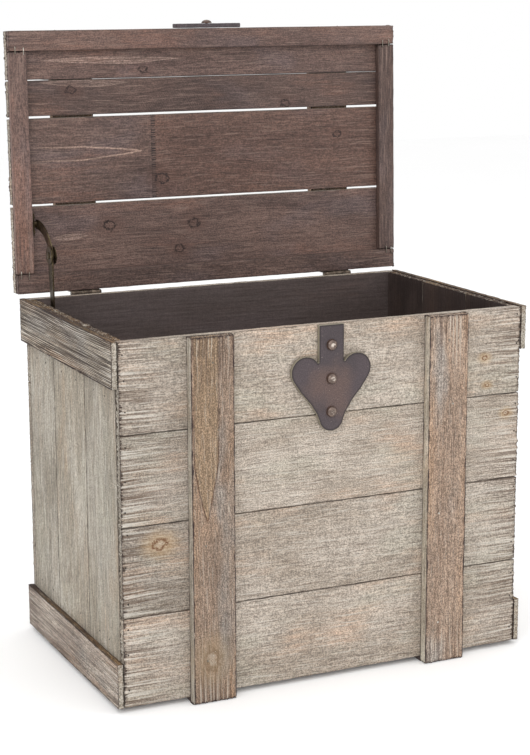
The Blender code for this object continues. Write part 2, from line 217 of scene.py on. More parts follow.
KNOTS = ("knot_1", "knot_2", "knot_3")
AWAY = 9.0
NOWHERE = (AWAY, AWAY, 0.01)
PLAIN_FIGURE = {
    "knots": (),
    "tongue": (AWAY, 0.1, 0.0),
    "tongue_side": 0.0,
    "finger_joint": AWAY,
    "bare_streak": (AWAY, AWAY, 0.05),
    "saw_marks": (AWAY, 0.1, 0.0),
    "tone": 0.0,
    "stain": 0.0,
}
BOARD_LAYERS = 3
SHARP_CORNER = math.radians(60)
EDGE_BAND = 0.003
END_BAND = 0.004
WORN_UNIT = 0.001
FACE_TURN = 0.6
STAIN_START = -0.15
STAIN_REACH = 0.06
SWELL = 0.00035
CRACK_OPEN = 0.046
CRACK_CLOSED = 0.0006
SCREW_SHARES = (0.16, 0.84)
LEAF_FACE = 0.0048
LEAF_SCREW = 0.008
BRACKET_FACE = 0.0014
PLATE_CELL = 0.0008
# Width of the dark outline round the plates, which is painted shade.
PLATE_RIM = 0.0016
PLATE_DENTS = 0.0003


def board_box(node, on_lid):
    """Low and high corners of a board's CAD node, with the lid shut if it is one of the lid's."""
    back = LID_TURN.inverted() if on_lid else NO_TURN
    points = np.array([back @ vertex.co for vertex in frame["nodes"][node].data.vertices])
    return Vector(points.min(0)), Vector(points.max(0))


def board_place(node, along, across, on_lid):
    """Size of a board on the bench, and the matrix that carries it from there to its place."""
    low, high = board_box(node, on_lid)
    out = along.cross(across)
    axes = Matrix((along, across, out)).transposed()
    size = [abs(axis.dot(high - low)) for axis in (along, across, out)]
    place = Matrix.Translation((low + high) / 2) @ axes.to_4x4()
    size[1] += 0.0 if on_lid else 2 * SWELL
    return size, (LID_TURN if on_lid else NO_TURN) @ place


def board_blank(size, cell, edge):
    """A board on the bench, in cells fine enough to wear, with its edges broken."""
    length, width, thickness = size
    deselect()
    bpy.ops.mesh.primitive_grid_add(
        x_subdivisions=max(2, round(length / cell[0])),
        y_subdivisions=max(2, round(width / cell[1])),
        size=1.0,
        location=(0.0, 0.0, thickness / 2),
    )
    blank = bpy.context.object
    blank.scale = (length, width, 1.0)
    apply_place(blank)
    thick = blank.modifiers.new("thickness", "SOLIDIFY")
    thick.thickness = thickness
    thick.offset = -1.0
    apply_modifiers(blank)
    bpy.ops.object.mode_set(mode="EDIT")
    pick(blank, "edges", lambda edge: abs(edge.verts[0].co.z - edge.verts[1].co.z) > thickness / 2)
    bpy.ops.mesh.subdivide(number_cuts=BOARD_LAYERS - 1)
    bpy.ops.mesh.select_all(action="DESELECT")
    bpy.ops.mesh.edges_select_sharp(sharpness=SHARP_CORNER)
    bpy.ops.mesh.bevel(offset=edge, segments=2, profile=0.6, affect="EDGES", clamp_overlap=True)
    bpy.ops.mesh.select_all(action="SELECT")
    bpy.ops.mesh.normals_make_consistent(inside=False)
    bpy.ops.object.mode_set(mode="OBJECT")
    return blank


def grain_texture(name, kind, depth, contrast, brightness):
    if name in bpy.data.textures:
        return bpy.data.textures[name]
    made = bpy.data.textures.new(name, "CLOUDS")
    made.noise_basis = kind
    made.noise_scale = 1.0
    made.noise_depth = depth
    made.contrast = contrast
    made.intensity = brightness
    return made


def wear_away(obj, texture, depth, stretch, seed, group=None):
    """Wears a board by about depth, in marks of the sizes in stretch, which lie along its grain.

    Most of it goes inwards. Here and there a fibre stands proud, by under 1 mm.
    """
    chance = random.Random(seed)
    guide = bpy.data.objects.new("grain_guide", None)
    bpy.context.scene.collection.objects.link(guide)
    guide.location = [chance.uniform(-40, 40) * step for step in stretch]
    guide.scale = stretch
    bpy.context.view_layer.update()
    worn = obj.modifiers.new("wear", "DISPLACE")
    worn.texture = texture
    worn.texture_coords = "OBJECT"
    worn.texture_coords_object = guide
    worn.strength = depth
    worn.mid_level = 1.0
    worn.direction = "NORMAL"
    if group:
        worn.vertex_group = group
    apply_modifiers(obj)
    bpy.data.objects.remove(guide)


def weight_group(obj, name, weights):
    group = obj.vertex_groups.new(name=name)
    for index in np.nonzero(weights > 0.01)[0]:
        group.add([int(index)], float(weights[index]), "REPLACE")


def edge_gaps(points, size):
    """How far each point lies inside the board's faces, along each of its axes."""
    return np.array(size) / 2 - np.abs(points)


def note(obj, name, kind, values):
    """Stores a value for each vertex, or one value for them all, that a material reads."""
    held = obj.data.attributes.new(name, kind, "POINT")
    count = len(obj.data.vertices)
    if kind == "FLOAT_VECTOR":
        rows = np.broadcast_to(np.asarray(values, np.float32), (count, 3))
        held.data.foreach_set("vector", np.ascontiguousarray(rows).ravel())
    else:
        rows = np.broadcast_to(np.asarray(values, np.float32), (count,))
        held.data.foreach_set("value", np.ascontiguousarray(rows))


BLANKS = {}


def blank_copy(name, size, cell, edge):
    key = tuple(round(value, 5) for value in (*size, *cell, edge))
    if key not in BLANKS:
        BLANKS[key] = board_blank(size, cell, edge)
        BLANKS[key].hide_render = True
    made = copied(BLANKS[key], name)
    made.hide_render = False
    return made


def note_figure(board, points, figure):
    """Stores a board's own figure: knots, tongue of early wood, joint, bare streak, saw marks and tone."""
    knots = figure["knots"]
    for count, name in enumerate(KNOTS):
        note(board, name, "FLOAT_VECTOR", knots[count] if count < len(knots) else NOWHERE)
    for name in ("tongue", "bare_streak", "saw_marks"):
        note(board, name, "FLOAT_VECTOR", figure[name])
    for name in ("tongue_side", "finger_joint"):
        note(board, name, "FLOAT", figure[name])
    stained = np.clip((STAIN_START - points[:, 0]) / STAIN_REACH, 0.0, 1.0)
    note(board, "tone", "FLOAT", figure["tone"] + figure["stain"] * stained)


def worn_board(node, body, axes, wear, finishes, seed, figure=None, on_lid=False, shape=None):
    """A board that stands for a CAD node: shaped on the bench, worn, finished and put in its place."""
    size, place = board_place(node, *axes, on_lid)
    board = blank_copy(f"worn_{node}", size, wear["cell"], wear["edge"])
    if shape:
        shape(board, size)
    points = positions(board)
    gaps = edge_gaps(points, size)
    second_nearest = np.sort(gaps, axis=1)[:, 1]
    weight_group(board, "edges", np.clip(1.0 - second_nearest / EDGE_BAND, 0.0, 1.0))
    weight_group(board, "ends", np.clip(1.0 - gaps[:, 0] / END_BAND, 0.0, 1.0))
    note(board, "bench", "FLOAT_VECTOR", points)
    note(board, "half", "FLOAT_VECTOR", np.array(size) / 2)
    note(board, "seed", "FLOAT", float(seed))
    note_figure(board, points, {**PLAIN_FIGURE, **(figure or {})})
    for texture, depth, stretch, group in wear["marks"]:
        wear_away(board, texture, depth, stretch, seed * 17 + int(depth * 1e6), group)
    moved = np.linalg.norm(positions(board) - points, axis=1)
    note(board, "worn", "FLOAT", moved / WORN_UNIT)
    dress_board(board, finishes)
    smooth_by_angle(board, 40)
    carry(board, place)
    board.vertex_groups.clear()
    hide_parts(node)
    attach(board, body)
    return board


def dress_board(board, finishes):
    """Gives a board its finishes: better face, long edges, sawn ends and other face."""
    take(board)
    for finish in finishes:
        board.data.materials.append(finish)
    bpy.ops.object.mode_set(mode="EDIT")
    tests = (
        lambda face: face.normal.z > FACE_TURN,
        lambda face: abs(face.normal.z) <= FACE_TURN and abs(face.normal.x) <= FACE_TURN,
        lambda face: abs(face.normal.x) > FACE_TURN,
        lambda face: face.normal.z < -FACE_TURN,
    )
    for count, test in enumerate(tests):
        pick(board, "faces", test)
        board.active_material_index = count
        bpy.ops.object.material_slot_assign()
    bpy.ops.object.mode_set(mode="OBJECT")


# ---------------------------------------------------------------------------------------------
# Finishes


class Value:
    """What a node gives. Arithmetic signs between values, or with plain numbers, make Math nodes."""

    def __init__(self, recipe, socket):
        self.recipe = recipe
        self.socket = socket

    def __add__(self, other):
        return self.recipe.math("ADD", self, other)

    def __sub__(self, other):
        return self.recipe.math("SUBTRACT", self, other)

    def __mul__(self, other):
        return self.recipe.math("MULTIPLY", self, other)

    def __truediv__(self, other):
        return self.recipe.math("DIVIDE", self, other)

    def __pow__(self, other):
        return self.recipe.math("POWER", self, other)

    def __abs__(self):
        return self.recipe.math("ABSOLUTE", self)


class Recipe:
    """A material's nodes, put together a step at a time."""

    def __init__(self, name):
        self.material = bpy.data.materials.new(name)
        self.material.use_nodes = True
        self.tree = self.material.node_tree
        self.tree.nodes.clear()
        self.shader = self.tree.nodes.new("ShaderNodeBsdfPrincipled")
        output = self.tree.nodes.new("ShaderNodeOutputMaterial")
        self.tree.links.new(self.shader.outputs["BSDF"], output.inputs["Surface"])

    def feed(self, socket, value):
        if isinstance(value, Value):
            self.tree.links.new(value.socket, socket)
        elif isinstance(value, (tuple, list, Vector)) and socket.type == "RGBA":
            socket.default_value = (*value[:3], 1.0)
        else:
            socket.default_value = value

    def node(self, kind, output, values=(), **settings):
        """A node of this kind with its settings made and its first inputs fed, and what it gives."""
        node = self.tree.nodes.new(f"ShaderNode{kind}")
        for name, setting in settings.items():
            setattr(node, name, setting)
        for socket, value in zip(node.inputs, values):
            self.feed(socket, value)
        return Value(self, node.outputs[output])

    def attribute(self, name, output="Vector"):
        return self.node("Attribute", output, attribute_name=name)

    def object_place(self):
        return self.node("TexCoord", "Object")

    def math(self, operation, *values):
        return self.node("Math", 0, values, operation=operation)

    def most(self, first, second):
        return self.math("MAXIMUM", first, second)

    def least(self, first, second):
        return self.math("MINIMUM", first, second)

    def pingpong(self, value, reach):
        return self.math("PINGPONG", value, reach)

    def shifted(self, place, offset):
        return self.vector("ADD", place, offset)

    def vector(self, operation, *values):
        output = "Value" if operation in ("LENGTH", "DISTANCE") else "Vector"
        return self.node("VectorMath", output, values, operation=operation)

    def split(self, vector):
        node = self.tree.nodes.new("ShaderNodeSeparateXYZ")
        self.feed(node.inputs[0], vector)
        return [Value(self, output) for output in node.outputs]

    def join(self, *values):
        return self.node("CombineXYZ", 0, values)

    def noise(self, place, stretch, detail=3.0, roughness=0.5):
        node = self.tree.nodes.new("ShaderNodeTexNoise")
        self.feed(node.inputs["Vector"], self.vector("MULTIPLY", place, stretch))
        node.inputs["Scale"].default_value = 1.0
        node.inputs["Detail"].default_value = detail
        node.inputs["Roughness"].default_value = roughness
        return Value(self, node.outputs[0])

    def band(self, value, start, end, low=0.0, high=1.0):
        """Low below start, high above end and smooth between; start above end turns it round."""
        if start > end:
            start, end, low, high = end, start, high, low
        values = (value, start, end, low, high)
        return self.node("MapRange", 0, values, interpolation_type="SMOOTHSTEP", clamp=True)

    def spread(self, value, start, end, share):
        """A shade that runs from share below 1 to share above it."""
        return self.band(value, start, end, 1.0 - share, 1.0 + share)

    def mix(self, factor, first, second):
        node = self.tree.nodes.new("ShaderNodeMix")
        node.data_type = "RGBA"
        for index, value in ((0, factor), (6, first), (7, second)):
            self.feed(node.inputs[index], value)
        return Value(self, node.outputs[2])

    def scale(self, colour, amount):
        node = self.tree.nodes.new("ShaderNodeVectorMath")
        node.operation = "SCALE"
        self.feed(node.inputs[0], colour)
        self.feed(node.inputs["Scale"], amount)
        return Value(self, node.outputs["Vector"])

    def bump(self, height, distance, strength=1.0):
        node = self.tree.nodes.new("ShaderNodeBump")
        node.inputs["Distance"].default_value = distance
        node.inputs["Strength"].default_value = strength
        self.feed(node.inputs["Height"], height)
        return Value(self, node.outputs["Normal"])

    def finish(self, colour, roughness, normal=None, metallic=0.0):
        self.feed(self.shader.inputs["Base Color"], colour)
        self.feed(self.shader.inputs["Roughness"], roughness)
        self.feed(self.shader.inputs["Metallic"], metallic)
        if normal:
            self.feed(self.shader.inputs["Normal"], normal)
        return self.material


def board_edge(recipe, bench):
    """Distance on a board's surface to its nearest edge, its nearer sawn end, long edge and face."""
    away = recipe.vector("SUBTRACT", recipe.attribute("half"), recipe.vector("ABSOLUTE", bench))
    x, y, z = recipe.split(away)
    total = x + y + z
    least = recipe.least(recipe.least(x, y), z)
    most = recipe.most(recipe.most(x, y), z)
    return total - least - most, x, y, z


def knot_marks(recipe, bench):
    """Where knots lie: (dark cracks and broken ring, pale middle that is a painted highlight, stained wood
    round them), each 0 to 1.
    """
    here_x, here_y, _ = recipe.split(bench)
    waver = recipe.noise(bench, (150, 190, 190), detail=2) - 0.5
    crumb = recipe.noise(bench, (520, 620, 620), detail=2, roughness=0.6)
    broken = recipe.band(crumb, 0.34, 0.5)
    hearts, knot_highlights, halos = [], [], []
    for name in KNOTS:
        x, y, radius = recipe.split(recipe.attribute(name))
        along = (here_x - x) * 0.72
        across = here_y - y
        reach = recipe.vector("LENGTH", recipe.join(along, across, 0.0)) / radius
        reach = reach + waver * 1.6
        ring = recipe.band(reach, 0.6, 0.9) * recipe.band(reach, 1.45, 1.05)
        inside = recipe.band(reach, 0.9, 0.2)
        cracks = inside * recipe.band(crumb, 0.54, 0.62)
        hearts.append(recipe.most(ring * broken, cracks))
        # The inside of each knot, which gets a painted highlight.
        knot_highlights.append(inside)
        halos.append(recipe.band(reach, 4.2, 0.8))
    for other in range(1, len(KNOTS)):
        hearts[0] = recipe.most(hearts[0], hearts[other])
        knot_highlights[0] = recipe.most(knot_highlights[0], knot_highlights[other])
        halos[0] = recipe.most(halos[0], halos[other])
    return hearts[0], knot_highlights[0], halos[0]


def tongue_mark(recipe, bench, waver):
    """How far inside a tongue of early wood a point lies, and how clear its brim is there, from 0 to 1."""
    tip, reach, half_width = recipe.split(recipe.attribute("tongue"))
    here_x, here_y, _ = recipe.split(bench)
    here_y = here_y - recipe.attribute("tongue_side", "Fac")
    share = (here_x - tip) / reach
    held = recipe.least(recipe.most(share, 0.0), 1.0)
    opening = held ** 0.8 * half_width
    opening = opening - 0.0004
    shift = (waver - 0.5) * 0.006
    inside = opening - abs(here_y + shift)
    clear = recipe.band(share, 2.4, 0.9) * recipe.band(share, -0.03, 0.03)
    return inside, clear


def finger_joint_mark(recipe, bench):
    """The glued teeth that join two lengths into one board, and the far length, each from 0 to 1."""
    here_x, here_y, _ = recipe.split(bench)
    past = here_x - recipe.attribute("finger_joint", "Fac")
    zigzag = recipe.pingpong(here_y * 640.0, 1.0)
    tooth = recipe.band(zigzag, 0.3, 0.6)
    zone = recipe.band(abs(past), 0.0036, 0.0024)
    side = recipe.band(abs(past + 0.003), 0.0007, 0.0002)
    return recipe.most(tooth * zone, side), recipe.band(past, 0.0, 0.003)


def bare_streak_mark(recipe, bench, waver):
    """A long streak, pointed at both ends, where the stain is rubbed off: (inside, brim), each 0 to 1."""
    x, y, reach = recipe.split(recipe.attribute("bare_streak"))
    here_x, here_y, _ = recipe.split(bench)
    along = (here_x - x) / reach
    shift = (waver - 0.5) * 0.012
    across = abs(here_y - y + shift)
    spread = across / 0.0042 + along ** 2.0
    off_brim = abs(spread - 1.0)
    return recipe.band(spread, 1.05, 0.8), recipe.band(off_brim, 0.2, 0.05)


def saw_marks_mark(recipe, bench):
    """Slanting marks that a saw left across part of a board, from 0 to 1."""
    x, reach, share = recipe.split(recipe.attribute("saw_marks"))
    here_x, here_y, _ = recipe.split(bench)
    slant = here_x * 0.87 + here_y * 0.5
    stroke = recipe.pingpong(slant * 700.0, 1.0)
    within = abs(here_x - x) / reach
    held = recipe.band(within, 1.0, 0.6) * share
    return recipe.band(stroke, 0.45, 0.85) * held


def brushed_ridges(recipe, bench, place):
    """Wire-brushed grain: the ridge between one groove and the next, 0 on a crest and 1 in a groove."""
    swirl = recipe.noise(place, (3.0, 16, 16), detail=2)
    _, here_y, _ = recipe.split(bench)
    phase = here_y * 880.0 + swirl * 26.0
    return recipe.pingpong(phase, 1.0)


def wood(name, look):
    """A board's finish: blotches, growth rings, grain, open pores, saw marks, knots with a painted highlight
    in their middles, and dark worn edges.
    """
    recipe = Recipe(name)
    bench = recipe.attribute("bench")
    seed = recipe.attribute("seed", "Fac")
    place = recipe.vector("ADD", bench, recipe.scale((0.731, 0.417, 0.293), seed))
    drift = recipe.noise(place, (7, 11, 11), detail=2)
    wave = recipe.join(0.0, drift * look["waver"], 0.0)
    place = recipe.vector("ADD", place, wave)
    blotch = recipe.noise(place, look["blotch"], detail=4, roughness=0.6)
    streak = recipe.noise(place, look["streak"], detail=3, roughness=0.6)
    grain = recipe.noise(place, look["grain"], detail=3, roughness=0.7)
    grit = recipe.noise(place, look["grit"], detail=2, roughness=0.7)
    pores = recipe.noise(recipe.shifted(place, (3.1, 1.7, 0.0)), look["pores"], detail=2, roughness=0.6)
    patch = recipe.noise(recipe.shifted(place, (5.3, 2.9, 1.0)), look["patch"], detail=4, roughness=0.6)
    ticks = recipe.noise(place, look["ticks"], detail=2)
    sap = recipe.noise(recipe.shifted(place, (1.3, 7.9, 2.0)), look["figure"], detail=1, roughness=0.4)
    rings = recipe.pingpong(sap * look["rings"], 1.0)
    edge, end, side, face = board_edge(recipe, bench)

    colour = recipe.mix(recipe.band(blotch, 0.38, 0.62), look["dull"], look["pale"])
    cool = recipe.band(recipe.noise(place, (8, 18, 18), detail=3), 0.5, 0.68)
    colour = recipe.mix(cool * look["cool_share"], colour, look["cool"])
    warm = recipe.band(patch, 0.5, 0.7)
    streaky = warm * recipe.band(streak, 0.36, 0.56, 0.25, 1.0)
    colour = recipe.mix(streaky * look["warm_share"], colour, look["warm"])
    sides = recipe.band(side, 0.016, 0.004) * recipe.band(patch, 0.4, 0.56)
    colour = recipe.mix(sides * look["side_warmth"], colour, look["warm"])
    teeth, far_length = finger_joint_mark(recipe, bench)
    colour = recipe.mix(far_length * 0.45, colour, recipe.scale(look["warm"], 0.7))
    tongue, clear = tongue_mark(recipe, bench, drift)
    inside = recipe.band(tongue, -0.0004, 0.0012) * look["tongue_share"]
    colour = recipe.mix(inside, colour, look["tongue"])
    brim = recipe.band(tongue, -0.0016, -0.0002) * recipe.band(tongue, 0.0014, 0.0002)
    brim = brim * clear * 0.85
    colour = recipe.mix(brim, colour, look["tongue_line"])
    ring_line = recipe.band(rings, 0.62, 0.98)
    colour = recipe.mix(ring_line * look["ring_share"], colour, look["ring"])
    bare, bare_brim = bare_streak_mark(recipe, bench, drift)
    bare = recipe.most(bare * recipe.band(pores, 0.42, 0.6), bare_brim)
    colour = recipe.mix(bare * 0.6, colour, look["chip_and_highlight"])
    sawn = saw_marks_mark(recipe, bench) * recipe.band(patch, 0.34, 0.5)
    colour = recipe.mix(sawn * 0.5, colour, look["line"])
    shade = recipe.spread(streak, 0.3, 0.7, look["streak_share"])
    fine = recipe.spread(grain, 0.34, 0.66, look["contrast"])
    dust = recipe.spread(grit, 0.37, 0.63, look["grit_share"])
    tick = recipe.spread(ticks, 0.36, 0.64, look["tick_share"])
    tone = recipe.attribute("tone", "Fac") + 1.0
    for level in (shade, fine, dust, tick, tone):
        colour = recipe.scale(colour, level)
    broken = recipe.band(patch, 0.66, 0.44, 0.2, 1.0)
    line_end = look["line_start"] + 0.04
    lines = recipe.band(pores, look["line_start"], line_end) * broken
    colour = recipe.mix(lines * look["line_share"], colour, look["line"])
    chalk = recipe.band(pores, 0.42, 0.36)
    colour = recipe.mix(chalk * look["chalk_share"], colour, look["chip_and_highlight"])

    ridge = brushed_ridges(recipe, bench, place)
    held = recipe.band(grain, 0.3, 0.5, 0.4, 1.0) * look["ridge_share"]
    grooves = recipe.band(ridge, 0.5, 0.85) * held
    colour = recipe.mix(grooves, colour, look["line"])
    crests = recipe.band(ridge, 0.34, 0.08) * (held * 0.6)
    colour = recipe.mix(crests, colour, look["chip_and_highlight"])
    split = recipe.noise(recipe.shifted(place, (0.4, 6.1, 3.0)), look["checks"], detail=2, roughness=0.6)
    near_end = recipe.band(end, 0.085, 0.004) * look["check_share"]
    checks = recipe.band(split, 0.55, 0.59) * near_end
    colour = recipe.mix(checks, colour, look["line"])
    lips = recipe.band(split, 0.43, 0.39) * (near_end * 0.8)
    colour = recipe.mix(lips, colour, look["chip_and_highlight"])

    worn = recipe.attribute("worn", "Fac")
    hollow = recipe.band(worn, look["hollow"][0], look["hollow"][1])
    colour = recipe.mix(hollow * look["hollow_share"], colour, look["line"])
    teeth = teeth * recipe.band(streak, 0.4, 0.54, 0.25, 0.95)
    colour = recipe.mix(teeth, colour, look["rim_colour"])
    knot, middle, halo = knot_marks(recipe, bench)
    colour = recipe.mix(halo * look["halo_share"], colour, look["halo"])
    # Painted highlight: the middle of each knot is lightened.
    colour = recipe.mix(middle * look["knot_highlight_share"], colour, look["chip_and_highlight"])
    colour = recipe.mix(knot * look["knot_share"], colour, look["knot"])

    ragged = recipe.noise(place, (70, 240, 240), detail=3) - 0.5
    rim_line = edge + ragged * (look["rim"] * 2.6)
    rim = recipe.band(rim_line, look["rim"], look["rim"] * 0.3)
    colour = recipe.mix(rim * look["rim_share"], colour, look["rim_colour"])
    comb = recipe.noise(place, (60, 430, 430), detail=2, roughness=0.6) - 0.5
    end_line = end - comb * look["comb"]
    ends = recipe.band(end_line, 0.0022, 0.0006) * recipe.band(face, 0.0022, 0.0008)
    colour = recipe.mix(ends * look["end_share"], colour, look["rim_colour"])
    speck = recipe.noise(place, (420, 420, 420), detail=1)
    chips = recipe.band(speck, 0.73, 0.77)
    colour = recipe.mix(chips * look["chip_share"], colour, look["chip_and_highlight"])

    height = grain * 0.7 + streak * 0.4
    height = height + grit * 0.5
    height = height - lines * 0.4
    height = height - checks * 0.6
    height = height - grooves
    rough = recipe.band(grain, 0.3, 0.7, look["rough"] - 0.08, look["rough"] + 0.06)
    recipe.shader.inputs["Specular IOR Level"].default_value = look["gloss"]
    return recipe.finish(colour, rough, recipe.bump(height, look["relief"], 0.8))


def iron_finish(name, base, rust):
    """Dark plate iron: cloudy tone, a rusty bloom in the heart, fine specks, a dark rim that is painted
    shade, and pale sides that are part wear and part painted highlight.
    """
    recipe = Recipe(name)
    place = recipe.object_place()
    low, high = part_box("heart_plate")
    core = low.lerp(high, 0.42) + Vector((0.008, 0.0, 0.0))
    cloud = recipe.noise(place, (34, 34, 34), detail=4)
    bloom = recipe.noise(place, (30, 30, 30), detail=3)
    pits = recipe.noise(place, (420, 420, 420), detail=3, roughness=0.7)
    fine = recipe.noise(place, (640, 640, 640), detail=2, roughness=0.7)
    colour = recipe.mix(recipe.band(cloud, 0.36, 0.64), recipe.scale(base, 0.76), base)
    away = recipe.vector("DISTANCE", place, core) + bloom * 0.07
    colour = recipe.mix(recipe.band(away, 0.080, 0.044, 0.0, 0.7), colour, rust)
    colour = recipe.scale(colour, recipe.band(fine, 0.36, 0.64, 0.76, 1.28))
    colour = recipe.mix(recipe.band(pits, 0.68, 0.74, 0.0, 0.6), colour, srgb(190, 178, 166))
    # Painted shade: a dark outline round the plate's face, next to its sides.
    near_rim = recipe.attribute("near_rim", "Fac") * 0.95
    colour = recipe.mix(near_rim, colour, srgb(34, 26, 28))
    # The plate's sides are painted pale: part wear, part painted highlight on its edges.
    wall = recipe.attribute("wall", "Fac") * 0.8
    colour = recipe.mix(wall, colour, srgb(146, 138, 120))
    rough = recipe.band(cloud, 0.3, 0.7, 0.44, 0.62)
    height = pits * 0.5 + cloud
    return recipe.finish(colour, rough, recipe.bump(height, 0.0006, 0.7), 0.2)


def rivet_finish(name, base):
    """A domed rivet: painted shade on the low part of the dome where it meets the plate, a rusty ring and a
    painted highlight on the crown.
    """
    recipe = Recipe(name)
    place = recipe.object_place()
    crown = recipe.attribute("crown", "Fac")
    cloud = recipe.noise(place, (260, 260, 260), detail=3)
    pits = recipe.noise(place, (900, 900, 900), detail=2, roughness=0.7)
    colour = recipe.mix(recipe.band(cloud, 0.4, 0.6), recipe.scale(base, 0.6), base)
    # Painted shade: the low part of the dome, next to the plate, is darkened.
    colour = recipe.mix(recipe.band(crown, 0.75, 0.35), colour, srgb(70, 52, 46))
    colour = recipe.mix(recipe.band(crown, 0.26, 0.12), colour, srgb(132, 96, 72))
    # Painted highlight: the crown is lightened in patches.
    crown_highlight = recipe.band(crown, 0.86, 0.98) * recipe.band(cloud, 0.42, 0.56)
    colour = recipe.mix(crown_highlight, colour, srgb(214, 202, 190))
    colour = recipe.scale(colour, recipe.band(pits, 0.36, 0.64, 0.8, 1.2))
    surface = recipe.band(cloud, 0.3, 0.7, 0.46, 0.3)
    return recipe.finish(colour, surface, recipe.bump(cloud, 0.0006, 0.8), 0.35)


def metal_finish(name, base, dark, rough, metallic):
    """A fitting's metal: tarnish in cloudy patches, small scratches and pits."""
    recipe = Recipe(name)
    place = recipe.object_place()
    cloud = recipe.noise(place, (90, 90, 90), detail=4)
    scratch = recipe.noise(place, (300, 300, 300), detail=3, roughness=0.65)
    colour = recipe.mix(recipe.band(cloud, 0.4, 0.7), dark, base)
    colour = recipe.mix(recipe.band(scratch, 0.6, 0.7, 0.0, 0.5), colour, recipe.scale(base, 1.8))
    colour = recipe.mix(recipe.band(scratch, 0.4, 0.3, 0.0, 0.6), colour, recipe.scale(dark, 0.6))
    surface = recipe.band(cloud, 0.3, 0.7, rough + 0.12, rough)
    return recipe.finish(colour, surface, recipe.bump(scratch, 0.0002, 0.6), metallic)


WASH_BASE = {
    "waver": 0.010,
    "blotch": (6, 14, 14),
    "streak": (14, 330, 330),
    "grain": (90, 700, 700),
    "grit": (480, 660, 660),
    "pores": (26, 680, 680),
    "patch": (6, 17, 17),
    "ticks": (640, 60, 60),
    "figure": (2.0, 14, 14),
    "rings": 26.0,
    "ring": srgb(140, 120, 102),
    "ring_share": 0.12,
    "ridge_share": 0.0,
    "cool": srgb(172, 167, 153),
    "cool_share": 0.5,
    "warm": srgb(186, 158, 136),
    "warm_share": 0.62,
    "side_warmth": 0.0,
    "tongue": srgb(164, 130, 94),
    "tongue_line": srgb(84, 60, 46),
    "tongue_share": 0.0,
    "streak_share": 0.06,
    "contrast": 0.18,
    "grit_share": 0.36,
    "tick_share": 0.08,
    "line": srgb(92, 74, 62),
    "line_start": 0.62,
    "line_share": 0.5,
    "chalk_share": 0.34,
    "hollow": (0.26, 0.5),
    "hollow_share": 0.14,
    "halo": srgb(178, 144, 96),
    "halo_share": 0.45,
    "knot_highlight_share": 0.25,
    "knot": srgb(104, 70, 50),
    "knot_share": 0.9,
    "rim": 0.0011,
    "rim_share": 0.8,
    "rim_colour": srgb(52, 40, 36),
    "comb": 0.022,
    "checks": (9, 430, 430),
    "check_share": 0.68,
    "end_share": 0.85,
    "chip_and_highlight": srgb(216, 210, 200),
    "chip_share": 0.3,
    "relief": 0.0008,
    "rough": 0.8,
    "gloss": 0.2,
}


